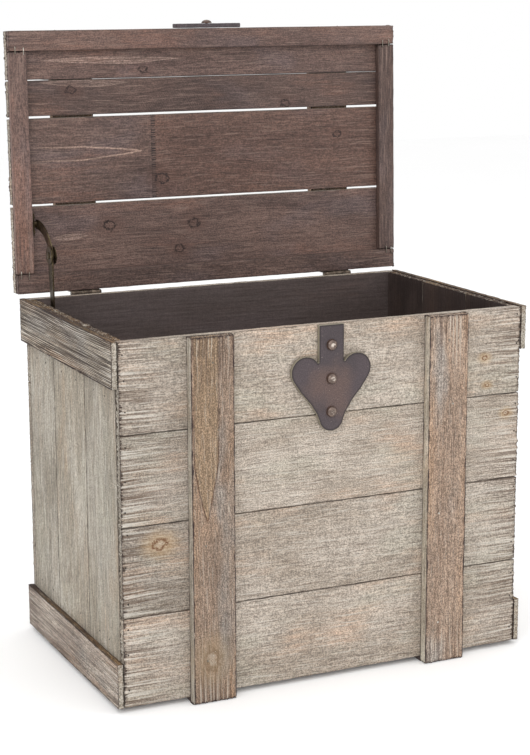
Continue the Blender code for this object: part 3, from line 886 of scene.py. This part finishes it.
def looks(wood_set):
    """Each finish of the boards by name."""
    wash = {**WASH_BASE, "pale": tuple(wood_set.wash_pale), "dull": tuple(wood_set.wash_dull)}
    lid_wash = {**wash, "halo_share": 0.1, "knot_highlight_share": 0.0, "knot": srgb(118, 98, 82), "knot_share": 0.5}
    end_wash = {
        **wash,
        "pale": srgb(170, 163, 151),
        "dull": srgb(148, 139, 125),
        "cool_share": 0.5,
        "warm": srgb(168, 142, 116),
        "warm_share": 0.4,
        "end_share": 0.0,
        "streak": (9, 260, 260),
        "streak_share": 0.16,
        "contrast": 0.24,
        "grit_share": 0.3,
        "tick_share": 0.02,
        "line_share": 0.65,
        "pores": (20, 560, 560),
        "check_share": 0.5,
    }
    strap = {
        **wash,
        "pale": tuple(wood_set.strap_brown),
        "dull": srgb(128, 110, 96),
        "cool": srgb(138, 132, 126),
        "cool_share": 0.8,
        "warm": srgb(152, 122, 96),
        "warm_share": 0.3,
        "side_warmth": 0.35,
        "tongue_share": 0.9,
        "tongue": srgb(144, 122, 99),
        "streak_share": 0.1,
        "contrast": 0.3,
        "grit_share": 0.42,
        "tick_share": 0.04,
        "ring": srgb(98, 78, 64),
        "ring_share": 0.16,
        "rings": 12.0,
        "figure": (1.6, 12, 12),
        "line": srgb(76, 58, 50),
        "line_share": 0.6,
        "hollow_share": 0.2,
        "knot": srgb(100, 76, 54),
        "knot_share": 0.5,
        "halo": srgb(150, 128, 98),
        "rim": 0.0024,
        "check_share": 0.6,
        "rim_share": 0.95,
        "rim_colour": srgb(48, 38, 40),
        "comb": 0.012,
        "chip_share": 0.7,
        "chip_and_highlight": srgb(200, 192, 180),
        "chalk_share": 0.22,
    }
    trim = {
        **strap,
        "pale": srgb(178, 168, 152),
        "dull": srgb(142, 128, 112),
        "warm": srgb(134, 100, 70),
        "warm_share": 0.8,
        "side_warmth": 0.5,
        "streak": (5, 360, 360),
        "streak_share": 0.3,
        "pores": (9, 620, 620),
        "line_start": 0.57,
        "line_share": 0.6,
        "ridge_share": 0.85,
        "waver": 0.004,
        "hollow": (0.3, 0.7),
        "hollow_share": 0.8,
        "line": srgb(58, 46, 40),
        "end_share": 0.7,
        "rim": 0.002,
        "ring_share": 0.1,
        "chalk_share": 0.6,
        "chip_and_highlight": srgb(212, 206, 196),
    }
    rim_wood = {
        **strap,
        "pale": srgb(112, 92, 68),
        "dull": srgb(60, 48, 42),
        "cool": srgb(78, 68, 56),
        "warm": srgb(142, 114, 80),
        "warm_share": 0.6,
        "contrast": 0.5,
        "grit_share": 0.5,
        "end_share": 0.0,
        "rim_share": 0.5,
    }
    base_trim = {
        **trim,
        "pale": srgb(188, 175, 162),
        "dull": srgb(151, 136, 125),
        "warm": srgb(150, 122, 98),
        "cool_share": 0.6,
        "hollow_share": 0.4,
        "streak_share": 0.2,
        "line_share": 0.5,
        "ridge_share": 0.5,
        "line_start": 0.61,
        "chalk_share": 0.35,
    }
    lid = {
        **wash,
        "pale": tuple(wood_set.lid_brown),
        "dull": srgb(92, 73, 67),
        "cool": srgb(100, 86, 86),
        "warm": srgb(124, 90, 76),
        "warm_share": 0.55,
        "streak": (14, 300, 300),
        "streak_share": 0.07,
        "contrast": 0.26,
        "grit_share": 0.32,
        "tick_share": 0.05,
        "ring": srgb(66, 48, 44),
        "ring_share": 0.2,
        "rings": 15.0,
        "figure": (1.5, 11, 11),
        "pores": (30, 700, 700),
        "line": srgb(48, 36, 34),
        "line_share": 0.6,
        "knot_highlight_share": 0.0,
        "check_share": 0.35,
        "knot": srgb(40, 28, 26),
        "knot_share": 0.95,
        "halo": srgb(96, 68, 58),
        "halo_share": 0.35,
        "tongue_line": srgb(178, 150, 134),
        "rim": 0.0009,
        "rim_share": 0.6,
        "rim_colour": srgb(36, 28, 28),
        "comb": 0.004,
        "end_share": 0.3,
        "chip_and_highlight": srgb(160, 136, 124),
        "chip_share": 0.3,
        "chalk_share": 0.26,
        "rough": 0.6,
        "gloss": 0.35,
        "relief": 0.0005,
    }
    lining = {
        **lid,
        "pale": tuple(wood_set.lining_brown),
        "dull": srgb(78, 67, 64),
        "cool": srgb(84, 73, 72),
        "warm": srgb(96, 78, 72),
        "contrast": 0.1,
        "check_share": 0.0,
        "grit_share": 0.12,
        "streak_share": 0.04,
        "ring_share": 0.05,
        "line_share": 0.12,
        "chalk_share": 0.0,
        "hollow_share": 0.05,
        "chip_share": 0.1,
        "relief": 0.0002,
    }
    # The ends' inner faces: the lining made darker as painted shade, with more streaks.
    end_lining = {
        **lining,
        "pale": srgb(72, 60, 56),
        "dull": srgb(58, 48, 45),
        "cool": srgb(62, 54, 52),
        "warm": srgb(78, 62, 54),
        "streak_share": 0.1,
    }
    return {
        "wash": wash,
        "lid_wash": lid_wash,
        "end_wash": end_wash,
        "strap": strap,
        "trim": trim,
        "base_trim": base_trim,
        "lid": lid,
        "lining": lining,
        "end_lining": end_lining,
        "rim_wood": rim_wood,
    }


def finish_named(name):
    """The board finish of this name, made the first time it is asked for."""
    title = f"toy_box_{name}"
    if title not in bpy.data.materials:
        wood(title, looks(bpy.context.scene.toy_box_wood)[name])
    return bpy.data.materials[title]


def metal_named(name):
    title = f"toy_box_{name}"
    if title in bpy.data.materials:
        return bpy.data.materials[title]
    metal = bpy.context.scene.toy_box_metal
    if name == "iron":
        return iron_finish(title, tuple(metal.iron), tuple(metal.rust))
    if name == "rivet":
        return rivet_finish(title, tuple(metal.rivet))
    if name == "brass":
        return metal_finish(title, tuple(metal.brass), srgb(62, 52, 38), 0.24, 0.9)
    if name == "nail":
        return metal_finish(title, srgb(74, 64, 58), srgb(44, 38, 36), 0.5, 0.5)
    if name == "hinge":
        return metal_finish(title, tuple(metal.hinge), srgb(70, 60, 52), 0.38, 0.8)
    return metal_finish(title, tuple(metal.steel), srgb(120, 112, 100), 0.28, 0.9)


# ---------------------------------------------------------------------------------------------
# Operators


def marks_of(grain, edge, notch, stretch, cell, bevel):
    """The wear of one kind of board."""
    fine = grain_texture("open_grain", "ORIGINAL_PERLIN", 2, 2.6, 1.12)
    chewed = grain_texture("chewed_edge", "ORIGINAL_PERLIN", 2, 2.0, 0.9)
    notched = grain_texture("notched_end", "ORIGINAL_PERLIN", 1, 3.4, 0.9)
    marks = [
        (fine, grain, stretch, None),
        (chewed, edge, (0.012, 0.004, 0.004), "edges"),
    ]
    if notch:
        marks.append((notched, notch, (0.05, 0.0026, 0.05), "ends"))
    return {"cell": cell, "edge": bevel, "marks": marks}


class TOYBOX_OT_planks(bpy.types.Operator):
    """Wear the front, back and end planks and whitewash their outsides"""

    bl_idname = "toy_box.planks"
    bl_label = "Planks"

    def execute(self, context):
        settings = context.scene.toy_box_wood
        wear = marks_of(
            settings.plank_grain,
            settings.edge_wear,
            settings.end_notch,
            (0.09, 0.0016, 0.03),
            (0.0055, 0.0012),
            0.0006,
        )
        wash = finish_named("wash")
        end_wash = finish_named("end_wash")
        lining = finish_named("lining")
        end_lining = finish_named("end_lining")
        rim_wood = finish_named("rim_wood")
        figures = {
            "front_plank_1": {"tone": -0.04, "stain": -0.06},
            "front_plank_2": {"knots": [(-0.230, 0.032, 0.0062)], "tone": -0.05, "stain": -0.24},
            "front_plank_3": {"knots": [(0.260, 0.031, 0.0028)], "stain": -0.22},
            "front_plank_4": {"knots": [(0.226, -0.007, 0.0026), (0.230, -0.043, 0.0021)], "stain": -0.14},
        }
        for count in range(1, 5):
            node = f"front_plank_{count}"
            dress = (wash, wash, end_wash, lining)
            worn_board(
                node, "box", (X_AXIS, Z_AXIS), wear, dress, count, figures[node]
            )
            node = f"back_plank_{count}"
            worn_board(node, "box", (-X_AXIS, Z_AXIS), wear, dress, count + 10)
        # The ends' inner faces take the lining darkened as painted shade.
        dress = (end_wash, end_wash, rim_wood, end_lining)
        for side, across, seed in (("left", Y_AXIS, 20), ("right", -Y_AXIS, 30)):
            for count, tone in ((1, -0.12), (2, -0.02), (3, -0.14)):
                node = f"{side}_end_plank_{count}"
                axes = (Z_AXIS, across)
                figure = {"tone": tone}
                worn_board(node, "box", axes, wear, dress, count + seed, figure)
        return {"FINISHED"}


class TOYBOX_OT_trims(bpy.types.Operator):
    """Wear the wire-brushed trims on both ends"""

    bl_idname = "toy_box.trims"
    bl_label = "End trims"

    def execute(self, context):
        settings = context.scene.toy_box_wood
        wear = marks_of(
            settings.trim_grain,
            settings.edge_wear,
            0.0,
            (0.12, 0.0015, 0.03),
            (0.0045, 0.0006),
            0.0008,
        )
        trim = finish_named("trim")
        base_trim = finish_named("base_trim")
        strap = finish_named("strap")
        end_wash = finish_named("end_wash")
        rim_wood = finish_named("rim_wood")
        for side, along in (("left", -Y_AXIS), ("right", Y_AXIS)):
            for level, finish in (("top", trim), ("bottom", base_trim)):
                node = f"{side}_{level}_trim"
                seed = 41 + len(side) + len(level) * 3
                dress = (finish, rim_wood, end_wash, strap)
                worn_board(node, "box", (along, Z_AXIS), wear, dress, seed)
        return {"FINISHED"}


class TOYBOX_OT_straps(bpy.types.Operator):
    """Wear the upright straps, the runners under the body and the bottom panel"""

    bl_idname = "toy_box.straps"
    bl_label = "Straps and runners"

    def execute(self, context):
        settings = context.scene.toy_box_wood
        wear = marks_of(
            settings.strap_grain,
            settings.edge_wear,
            0.0012,
            (0.08, 0.0016, 0.03),
            (0.005, 0.0008),
            0.0022,
        )
        low = marks_of(settings.strap_grain, 0.0008, 0.0, (0.08, 0.002, 0.03), (0.01, 0.002), 0.0008)
        strap = finish_named("strap")
        side_wash = finish_named("end_wash")
        lining = finish_named("lining")
        figures = {
            "left": {
                "knots": [(-0.176, 0.004, 0.009)],
                "tongue": (0.0022, 0.073, 0.0165),
                "tongue_side": 0.0085,
                "tone": -0.06,
            },
            "right": {"tone": 0.3},
        }
        for side, seed in (("left", 51), ("right", 52)):
            node = f"{side}_front_strap"
            dress = (strap, side_wash, strap, strap)
            worn_board(node, "box", (Z_AXIS, -X_AXIS), wear, dress, seed, figures[side])
            node = f"{side}_runner"
            worn_board(node, "box", (Y_AXIS, -X_AXIS), low, (lining,) * 4, seed + 4)
        node = "bottom_panel"
        worn_board(node, "box", (X_AXIS, Y_AXIS), low, (lining,) * 4, 59)
        return {"FINISHED"}


def close_crack(board, size):
    """Brings the lid's narrow front plank up to its neighbour, but for a slit left at one end."""
    slit_end = -size[0] / 2 + CRACK_OPEN
    edge = -size[1] / 2 + 0.0004
    take(board)
    bpy.ops.object.mode_set(mode="EDIT")
    pick(board, "edges", lambda part: all(v.co.y < edge and v.co.x > slit_end for v in part.verts))
    bpy.ops.transform.translate(value=(0.0, -CRACK_CLOSED, 0.0))
    bpy.ops.object.mode_set(mode="OBJECT")


class TOYBOX_OT_lid(bpy.types.Operator):
    """Wear the lid's planks, its frame and the straps on its outside"""

    bl_idname = "toy_box.lid"
    bl_label = "Lid"

    def execute(self, context):
        settings = context.scene.toy_box_wood
        wear = marks_of(
            settings.lid_grain, 0.0008, 0.001, (0.1, 0.0018, 0.03), (0.0065, 0.0014), 0.0005
        )
        lid = finish_named("lid")
        wash = finish_named("lid_wash")
        strap = finish_named("strap")
        figures = {
            "lid_plank_1": {
                "knots": [(-0.150, 0.027, 0.0055), (-0.026, 0.023, 0.0055), (-0.048, -0.011, 0.005)],
                "bare_streak": (-0.208, 0.014, 0.024),
                "tone": 0.02,
            },
            "lid_plank_2": {
                "knots": [(-0.072, -0.030, 0.0065), (0.20, 0.02, 0.004)],
                "tongue": (-0.1003, -0.085, 0.0095),
                "tongue_side": 0.0094,
                "finger_joint": -0.083,
                "tone": -0.12,
            },
            "lid_plank_3": {
                "knots": [(-0.200, 0.010, 0.0045), (0.118, -0.017, 0.0045)],
                "saw_marks": (-0.055, 0.095, 0.8),
                "bare_streak": (-0.180, 0.0195, 0.06),
                "tone": -0.24,
            },
            "lid_plank_4": {
                "knots": [(-0.096, -0.022, 0.004), (0.177, 0.018, 0.003)],
                "bare_streak": (-0.141, -0.0085, 0.094),
                "tone": 0.06,
            },
        }
        for count in range(1, 5):
            node = f"lid_plank_{count}"
            worn_board(
                node,
                "lid",
                (X_AXIS, -Y_AXIS),
                wear,
                (lid, wash, wash, wash),
                60 + count,
                figures[node],
                on_lid=True,
                shape=close_crack if count == 4 else None,
            )
        for side, axes, seed, tone in (
            ("front", (X_AXIS, -Y_AXIS), 75, 0.0),
            ("back", (X_AXIS, -Y_AXIS), 77, -0.14),
            ("left", (Y_AXIS, X_AXIS), 74, 0.18),
            ("right", (Y_AXIS, X_AXIS), 78, -0.28),
        ):
            node = f"lid_frame_{side}"
            figure = {"tone": tone}
            worn_board(node, "lid", axes, wear, (lid,) * 4, seed, figure, on_lid=True)
        for side, seed in (("left", 80), ("right", 81)):
            node = f"{side}_lid_strap"
            dress = (strap,) * 4
            worn_board(node, "lid", (Y_AXIS, -X_AXIS), wear, dress, seed, on_lid=True)
        return {"FINISHED"}


class TOYBOX_OT_ironwork(bpy.types.Operator):
    """Hammer the heart plate and the latch plate, and finish their rivets with tarnish, a rusty ring,
    painted shade and a painted highlight
    """

    bl_idname = "toy_box.ironwork"
    bl_label = "Ironwork"

    def execute(self, context):
        self.plate("heart_plate", "box", False)
        self.plate("lid_latch_plate", "lid", True)
        for count in range(1, 4):
            self.rivet(f"heart_rivet_{count}", "heart_plate", "box", False)
        self.rivet("lid_latch_rivet", "lid_latch_plate", "lid", True)
        return {"FINISHED"}

    def raw(self, node, on_lid):
        """A copy of a CAD node's shape, its faces joined up, lying as it does when the lid is shut."""
        mesh = frame["nodes"][node].data.copy()
        mesh.name = f"worn_{node}"
        mesh.materials.clear()
        piece = bpy.data.objects.new(mesh.name, mesh)
        bpy.context.scene.collection.objects.link(piece)
        carry(piece, LID_TURN.inverted() if on_lid else NO_TURN)
        bpy.ops.object.mode_set(mode="EDIT")
        bpy.ops.mesh.select_all(action="SELECT")
        bpy.ops.mesh.remove_doubles(threshold=0.00001)
        bpy.ops.object.mode_set(mode="OBJECT")
        return piece

    def hang(self, piece, node, body, on_lid, finish, slot):
        """Puts a finished piece where its CAD node is."""
        piece.data.materials.append(finish)
        smooth_by_angle(piece, 50)
        carry(piece, LID_TURN if on_lid else NO_TURN)
        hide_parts(node)
        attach(piece, body)

    def plate(self, node, body, on_lid):
        piece = self.raw(node, on_lid)
        fine = piece.modifiers.new("fine_mesh", "REMESH")
        fine.mode = "VOXEL"
        fine.voxel_size = PLATE_CELL
        apply_modifiers(piece)
        points = positions(piece)
        facing_out = np.array([vertex.normal.y for vertex in piece.data.vertices])
        wall = np.abs(facing_out) < 0.8
        outline = kdtree.KDTree(int(wall.sum()))
        for count, point in enumerate(points[wall]):
            outline.insert((point[0], 0.0, point[2]), count)
        outline.balance()
        away = np.array([outline.find((point[0], 0.0, point[2]))[2] for point in points])
        # The sides, which the iron finish paints pale: part wear, part painted highlight.
        note(piece, "wall", "FLOAT", wall.astype(float) * (not on_lid))
        # Where the face nears the sides: the band of the plate's painted shade.
        note(piece, "near_rim", "FLOAT", np.clip(1.6 - away / PLATE_RIM, 0.0, 1.0) * ~wall)
        hammered = grain_texture("hammered_iron", "ORIGINAL_PERLIN", 1, 1.6, 1.0)
        wear_away(piece, hammered, PLATE_DENTS, (0.007, 0.007, 0.007), 5)
        self.hang(piece, node, body, on_lid, metal_named("iron"), "rusty_iron")

    def rivet(self, node, plate_node, body, on_lid):
        piece = self.raw(node, on_lid)
        low, _ = board_box(plate_node, on_lid)
        heights = low.y - positions(piece)[:, 1]
        # Height up the dome, which places the rivet's painted shade and painted highlight.
        note(piece, "crown", "FLOAT", np.clip(heights / heights.max(), 0.0, 1.0))
        self.hang(piece, node, body, on_lid, metal_named("rivet"), "copper_brown_rivet")


class TOYBOX_OT_fittings(bpy.types.Operator):
    """Finish the hinges and the lid stay"""

    bl_idname = "toy_box.fittings"
    bl_label = "Hinges and stay"

    def execute(self, context):
        for node in frame["nodes"]:
            if "hinge" in node:
                dress_node(node, metal_named("hinge"))
            elif node.startswith("stay_"):
                dress_node(node, metal_named("brass"))
        return {"FINISHED"}


def flat_head(name, radius, height):
    """A round head on the bench, flat underneath, its crown rounded over."""
    deselect()
    bpy.ops.mesh.primitive_cylinder_add(
        vertices=12, radius=radius, depth=height, location=(0.0, 0.0, height / 2), end_fill_type="NGON"
    )
    head = bpy.context.object
    head.name = name
    apply_place(head)
    bpy.ops.object.mode_set(mode="EDIT")
    pick(head, "faces", lambda face: face.normal.z > 0.9)
    bpy.ops.mesh.bevel(offset=height * 0.6, segments=2, affect="EDGES")
    bpy.ops.object.mode_set(mode="OBJECT")
    return head


def slotted_screw(name, radius, height):
    """A screw's head on the bench, its crown rounded over, with a slot across it."""
    head = flat_head(name, radius, height)
    bpy.ops.mesh.primitive_cube_add(size=1.0, location=(0.0, 0.0, height))
    cutter = bpy.context.object
    cutter.scale = (radius * 2.4, radius * 0.26, height * 0.8)
    apply_place(cutter)
    slot = head.modifiers.new("slot", "BOOLEAN")
    slot.operation = "DIFFERENCE"
    slot.object = cutter
    apply_modifiers(head)
    bpy.data.objects.remove(cutter)
    return head


def set_copies(model, name, places, body, finish):
    """Copies of a small piece at each place, joined as one piece that rides on body. The model goes away."""
    made = []
    for count, place in enumerate(places):
        made.append(copied(model, f"{name}_{count}"))
        carry(made[-1], place)
    bpy.data.objects.remove(model)
    deselect()
    for piece in made:
        piece.select_set(True)
    bpy.context.view_layer.objects.active = made[0]
    bpy.ops.object.join()
    joined = bpy.context.object
    joined.name = name
    joined.data.materials.clear()
    joined.data.materials.append(finish)
    smooth_by_angle(joined, 40)
    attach(joined, body)
    return joined


def facing(point, out, turn=0.0):
    """A matrix that stands a bench piece on a surface at point, which faces out."""
    aim = Vector(out).to_track_quat("Z", "Y").to_matrix().to_4x4()
    return Matrix.Translation(point) @ aim @ Matrix.Rotation(turn, 4, "Z")


class TOYBOX_OT_nails(bpy.types.Operator):
    """Drive the small nails at the planks' ends"""

    bl_idname = "toy_box.nails"
    bl_label = "Nails"

    def execute(self, context):
        chance = random.Random(11)
        places = []
        for count in range(1, 5):
            low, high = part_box(f"front_plank_{count}")
            for x, side in ((low.x, 1), (high.x, -1)):
                for share in (0.2, 0.55, 0.88):
                    z = low.z + (high.z - low.z) * (share + chance.uniform(-0.05, 0.05))
                    in_by = side * (0.006 + chance.uniform(-0.001, 0.002))
                    places.append(facing((x + in_by, low.y + 0.0002, z), (0.0, -1.0, 0.0)))
        for side, out in (("left", -1.0), ("right", 1.0)):
            for count in range(1, 4):
                low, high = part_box(f"{side}_end_plank_{count}")
                x = low.x + 0.0002 if side == "left" else high.x - 0.0002
                for y in (low.y + 0.03, high.y - 0.03):
                    for z in (low.z + 0.074, high.z - 0.074):
                        places.append(facing((x, y + chance.uniform(-0.006, 0.006), z), (out, 0.0, 0.0)))
        model = flat_head("nail", 0.0011, 0.0005)
        set_copies(model, "plank_nails", places, "box", metal_named("nail"))
        strap_places = []
        for side in ("left", "right"):
            low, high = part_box(f"{side}_front_strap")
            for share, across in ((0.12, 0.32), (0.44, 0.3), (0.75, 0.62), (0.93, 0.5)):
                x = low.x + (high.x - low.x) * across
                z = low.z + (high.z - low.z) * share
                strap_places.append(facing((x, low.y + 0.0004, z), (0.0, -1.0, 0.0)))
        model = flat_head("strap_nail", 0.0014, 0.0007)
        set_copies(model, "strap_nails", strap_places, "box", metal_named("steel"))
        return {"FINISHED"}


class TOYBOX_OT_staples(bpy.types.Operator):
    """Drive the staples across the corners of the lid's frame"""

    bl_idname = "toy_box.staples"
    bl_label = "Staples"

    def execute(self, context):
        low, _ = board_box("lid_frame_left", True)
        front, _ = board_box("lid_frame_front", True)
        _, back = board_box("lid_frame_back", True)
        front_y = front.y + 0.0255
        back_y = back.y - 0.0260
        places = []
        for x, y in (
            (-0.2790, front_y),
            (-0.2675, front_y + 0.001),
            (0.2690, front_y),
            (0.2790, front_y - 0.001),
            (-0.2820, back_y),
            (-0.2710, back_y + 0.001),
            (0.2740, back_y),
            (0.2820, back_y + 0.0015),
        ):
            place = Matrix.Translation((x, y, low.z)) @ Matrix.Rotation(math.pi, 4, "X")
            places.append(LID_TURN @ place)
        set_copies(self.staple(), "lid_staples", places, "lid", metal_named("steel"))
        return {"FINISHED"}

    def staple(self):
        """A wire staple on the bench, its crown along Y, its legs driven in."""
        deselect()
        bpy.ops.mesh.primitive_circle_add(
            vertices=8, radius=0.0006, fill_type="NGON", location=(0.0, -0.0048, -0.003)
        )
        wire = bpy.context.object
        wire.name = "staple"
        apply_place(wire)
        bpy.ops.object.mode_set(mode="EDIT")
        bpy.ops.mesh.select_all(action="SELECT")
        steps = (
            ((0.0, 0.0, 0.0030), 0.0),
            ((0.0, 0.0002, 0.0004), 45.0),
            ((0.0, 0.0006, 0.0002), 45.0),
            ((0.0, 0.0080, 0.0), 0.0),
            ((0.0, 0.0006, -0.0002), 45.0),
            ((0.0, 0.0002, -0.0004), 45.0),
            ((0.0, 0.0, -0.0030), 0.0),
        )
        for move, turn in steps:
            bpy.ops.mesh.extrude_region_move(TRANSFORM_OT_translate={"value": move})
            if turn:
                self.tip(wire, turn)
        bpy.ops.mesh.select_all(action="SELECT")
        bpy.ops.mesh.normals_make_consistent(inside=False)
        bpy.ops.object.mode_set(mode="OBJECT")
        return wire

    def tip(self, wire, degrees):
        """Turns the selected end of the wire about its own middle."""
        shape = bmesh.from_edit_mesh(wire.data)
        chosen = [vertex for vertex in shape.verts if vertex.select]
        middle = sum((vertex.co for vertex in chosen), Vector()) / len(chosen)
        turn = Matrix.Rotation(math.radians(-degrees), 3, "X")
        bmesh.ops.rotate(shape, cent=middle, matrix=turn, verts=chosen)
        bmesh.update_edit_mesh(wire.data)


class TOYBOX_OT_screws(bpy.types.Operator):
    """Drive the screws of the hinges and of the stay's brackets"""

    bl_idname = "toy_box.screws"
    bl_label = "Screws"

    def execute(self, context):
        box_places, lid_places = [], []
        for side in ("left", "right"):
            low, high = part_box(f"{side}_hinge_body_leaf")
            for count, share in enumerate(SCREW_SHARES):
                x = low.x + (high.x - low.x) * share
                place = facing((x, high.y - LEAF_FACE, low.z + LEAF_SCREW), Y_AXIS, 0.6 + count)
                box_places.append(place)
            low, high = board_box(f"{side}_hinge_lid_leaf", True)
            for count, share in enumerate(SCREW_SHARES):
                x = low.x + (high.x - low.x) * share
                place = facing((x, high.y - LEAF_FACE, high.z - LEAF_SCREW), Y_AXIS, 0.3 + count)
                lid_places.append(LID_TURN @ place)
        for body, places in (("box", box_places), ("lid", lid_places)):
            self.drive(f"hinge_screws_{body}", places, body, (0.0026, 0.0010), "steel", "hinge_steel")
        low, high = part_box("stay_body_bracket")
        middle = (low.y + high.y) / 2
        places = []
        for up in (0.006, 0.016):
            places.append(facing((low.x + BRACKET_FACE, middle, low.z + up), X_AXIS, up * 50))
        self.drive("stay_bracket_screws_box", places, "box", (0.0028, 0.0012), "brass", "antique_brass")
        low, high = board_box("stay_lid_bracket", True)
        middle = (low.z + high.z) / 2
        places = []
        for share in SCREW_SHARES:
            y = low.y + (high.y - low.y) * share
            place = facing((low.x + BRACKET_FACE, y, middle - 0.0005), X_AXIS, share)
            places.append(LID_TURN @ place)
        self.drive("stay_bracket_screws_lid", places, "lid", (0.0022, 0.0010), "brass", "antique_brass")
        return {"FINISHED"}

    def drive(self, name, places, body, size, metal, slot):
        """Sets a screw with a head of this radius and height at each place."""
        set_copies(slotted_screw(name, *size), name, places, body, metal_named(metal))


def dress_node(node, finish):
    """Puts a better finish on a CAD node, whose shape stays."""
    mesh = frame["nodes"][node].data
    for count in range(len(mesh.materials)):
        mesh.materials[count] = finish


class TOYBOX_OT_studio(bpy.types.Operator):
    """Set up the floor, the lights and the camera"""

    bl_idname = "toy_box.studio"
    bl_label = "Studio"

    def execute(self, context):
        studio = context.scene.toy_box_studio
        deselect()
        bpy.ops.mesh.primitive_plane_add(size=14.0, location=(0.0, 0.0, 0.0))
        floor = context.object
        floor.name = "studio_floor"
        recipe = Recipe("toy_box_floor")
        shade = recipe.noise(recipe.object_place(), (1.5, 1.5, 1.5))
        floor_colour = recipe.scale(tuple(studio.floor), recipe.band(shade, 0.2, 0.8, 0.99, 1.01))
        recipe.shader.inputs["Emission Color"].default_value = WHITE
        recipe.shader.inputs["Emission Strength"].default_value = studio.glow
        floor.data.materials.append(recipe.finish(floor_colour, 0.9))
        self.light("key_light", (-2.4, -3.0, 2.6), studio.key, 2.6)
        self.light("fill_light", (3.2, -2.2, 1.8), studio.fill, 2.4)
        self.light("top_light", (0.2, -0.4, 3.4), studio.top, 2.6)
        self.room(context, studio.sky)
        self.camera(context, studio.lens)
        context.scene.view_settings.view_transform = "Standard"
        return {"FINISHED"}

    def light(self, name, place, power, size):
        data = bpy.data.lights.new(name, "AREA")
        data.energy = power
        data.size = size
        lamp = bpy.data.objects.new(name, data)
        lamp.location = place
        aim = Vector((0.0, 0.0, 0.35)) - Vector(place)
        lamp.rotation_euler = aim.to_track_quat("-Z", "Y").to_euler()
        bpy.context.scene.collection.objects.link(lamp)

    def room(self, context, strength):
        world = bpy.data.worlds.new("studio_room")
        world.use_nodes = True
        background = world.node_tree.nodes["Background"]
        background.inputs["Color"].default_value = WHITE
        background.inputs["Strength"].default_value = strength
        backdrop = world.node_tree.nodes.new("ShaderNodeBackground")
        backdrop.inputs["Color"].default_value = WHITE
        seen = world.node_tree.nodes.new("ShaderNodeLightPath")
        choice = world.node_tree.nodes.new("ShaderNodeMixShader")
        output = world.node_tree.nodes["World Output"]
        world.node_tree.links.new(seen.outputs["Is Camera Ray"], choice.inputs["Fac"])
        world.node_tree.links.new(background.outputs[0], choice.inputs[1])
        world.node_tree.links.new(backdrop.outputs[0], choice.inputs[2])
        world.node_tree.links.new(choice.outputs[0], output.inputs["Surface"])
        context.scene.world = world

    def camera(self, context, lens):
        data = bpy.data.cameras.new("studio_camera")
        data.lens = lens
        data.sensor_width = 36.0
        camera = bpy.data.objects.new("studio_camera", data)
        turn = Matrix.Rotation(math.radians(-25.179), 4, "Z")
        tilt = Matrix.Rotation(math.radians(77.961), 4, "X")
        roll = Matrix.Rotation(math.radians(-0.204), 4, "Z")
        camera.matrix_world = Matrix.Translation((-1.03121, -2.19754, 0.87597)) @ turn @ tilt @ roll
        context.scene.collection.objects.link(camera)
        context.scene.camera = camera


STEPS = (
    TOYBOX_OT_planks,
    TOYBOX_OT_trims,
    TOYBOX_OT_straps,
    TOYBOX_OT_lid,
    TOYBOX_OT_ironwork,
    TOYBOX_OT_fittings,
    TOYBOX_OT_nails,
    TOYBOX_OT_staples,
    TOYBOX_OT_screws,
    TOYBOX_OT_studio,
)


class TOYBOX_PT_panel(bpy.types.Panel):
    """Lists the steps and settings"""

    bl_label = "Toy Box"
    bl_idname = "TOYBOX_PT_panel"
    bl_space_type = "VIEW_3D"
    bl_region_type = "UI"
    bl_category = "Toy Box"

    def draw(self, context):
        layout = self.layout
        for step in STEPS:
            layout.operator(step.bl_idname)
        for group in (context.scene.toy_box_wood, context.scene.toy_box_metal, context.scene.toy_box_studio):
            box = layout.box()
            for name in group.bl_rna.properties.keys():
                if name not in ("rna_type", "name"):
                    box.prop(group, name)


CLASSES = (WoodSettings, MetalSettings, StudioSettings, *STEPS, TOYBOX_PT_panel)


def register():
    for made in CLASSES:
        bpy.utils.register_class(made)
    bpy.types.Scene.toy_box_wood = PointerProperty(type=WoodSettings)
    bpy.types.Scene.toy_box_metal = PointerProperty(type=MetalSettings)
    bpy.types.Scene.toy_box_studio = PointerProperty(type=StudioSettings)


def unregister():
    del bpy.types.Scene.toy_box_studio
    del bpy.types.Scene.toy_box_metal
    del bpy.types.Scene.toy_box_wood
    for made in reversed(CLASSES):
        bpy.utils.unregister_class(made)


def clear_bench():
    """Removes the blanks that the boards were copied from."""
    for blank in BLANKS.values():
        bpy.data.objects.remove(blank)
    BLANKS.clear()


def main():
    register()
    bpy.ops.toy_box.studio()
    bpy.ops.toy_box.planks()
    bpy.ops.toy_box.trims()
    bpy.ops.toy_box.straps()
    bpy.ops.toy_box.lid()
    bpy.ops.toy_box.ironwork()
    bpy.ops.toy_box.fittings()
    bpy.ops.toy_box.nails()
    bpy.ops.toy_box.staples()
    bpy.ops.toy_box.screws()
    clear_bench()


if __name__ == "__main__":
    main()
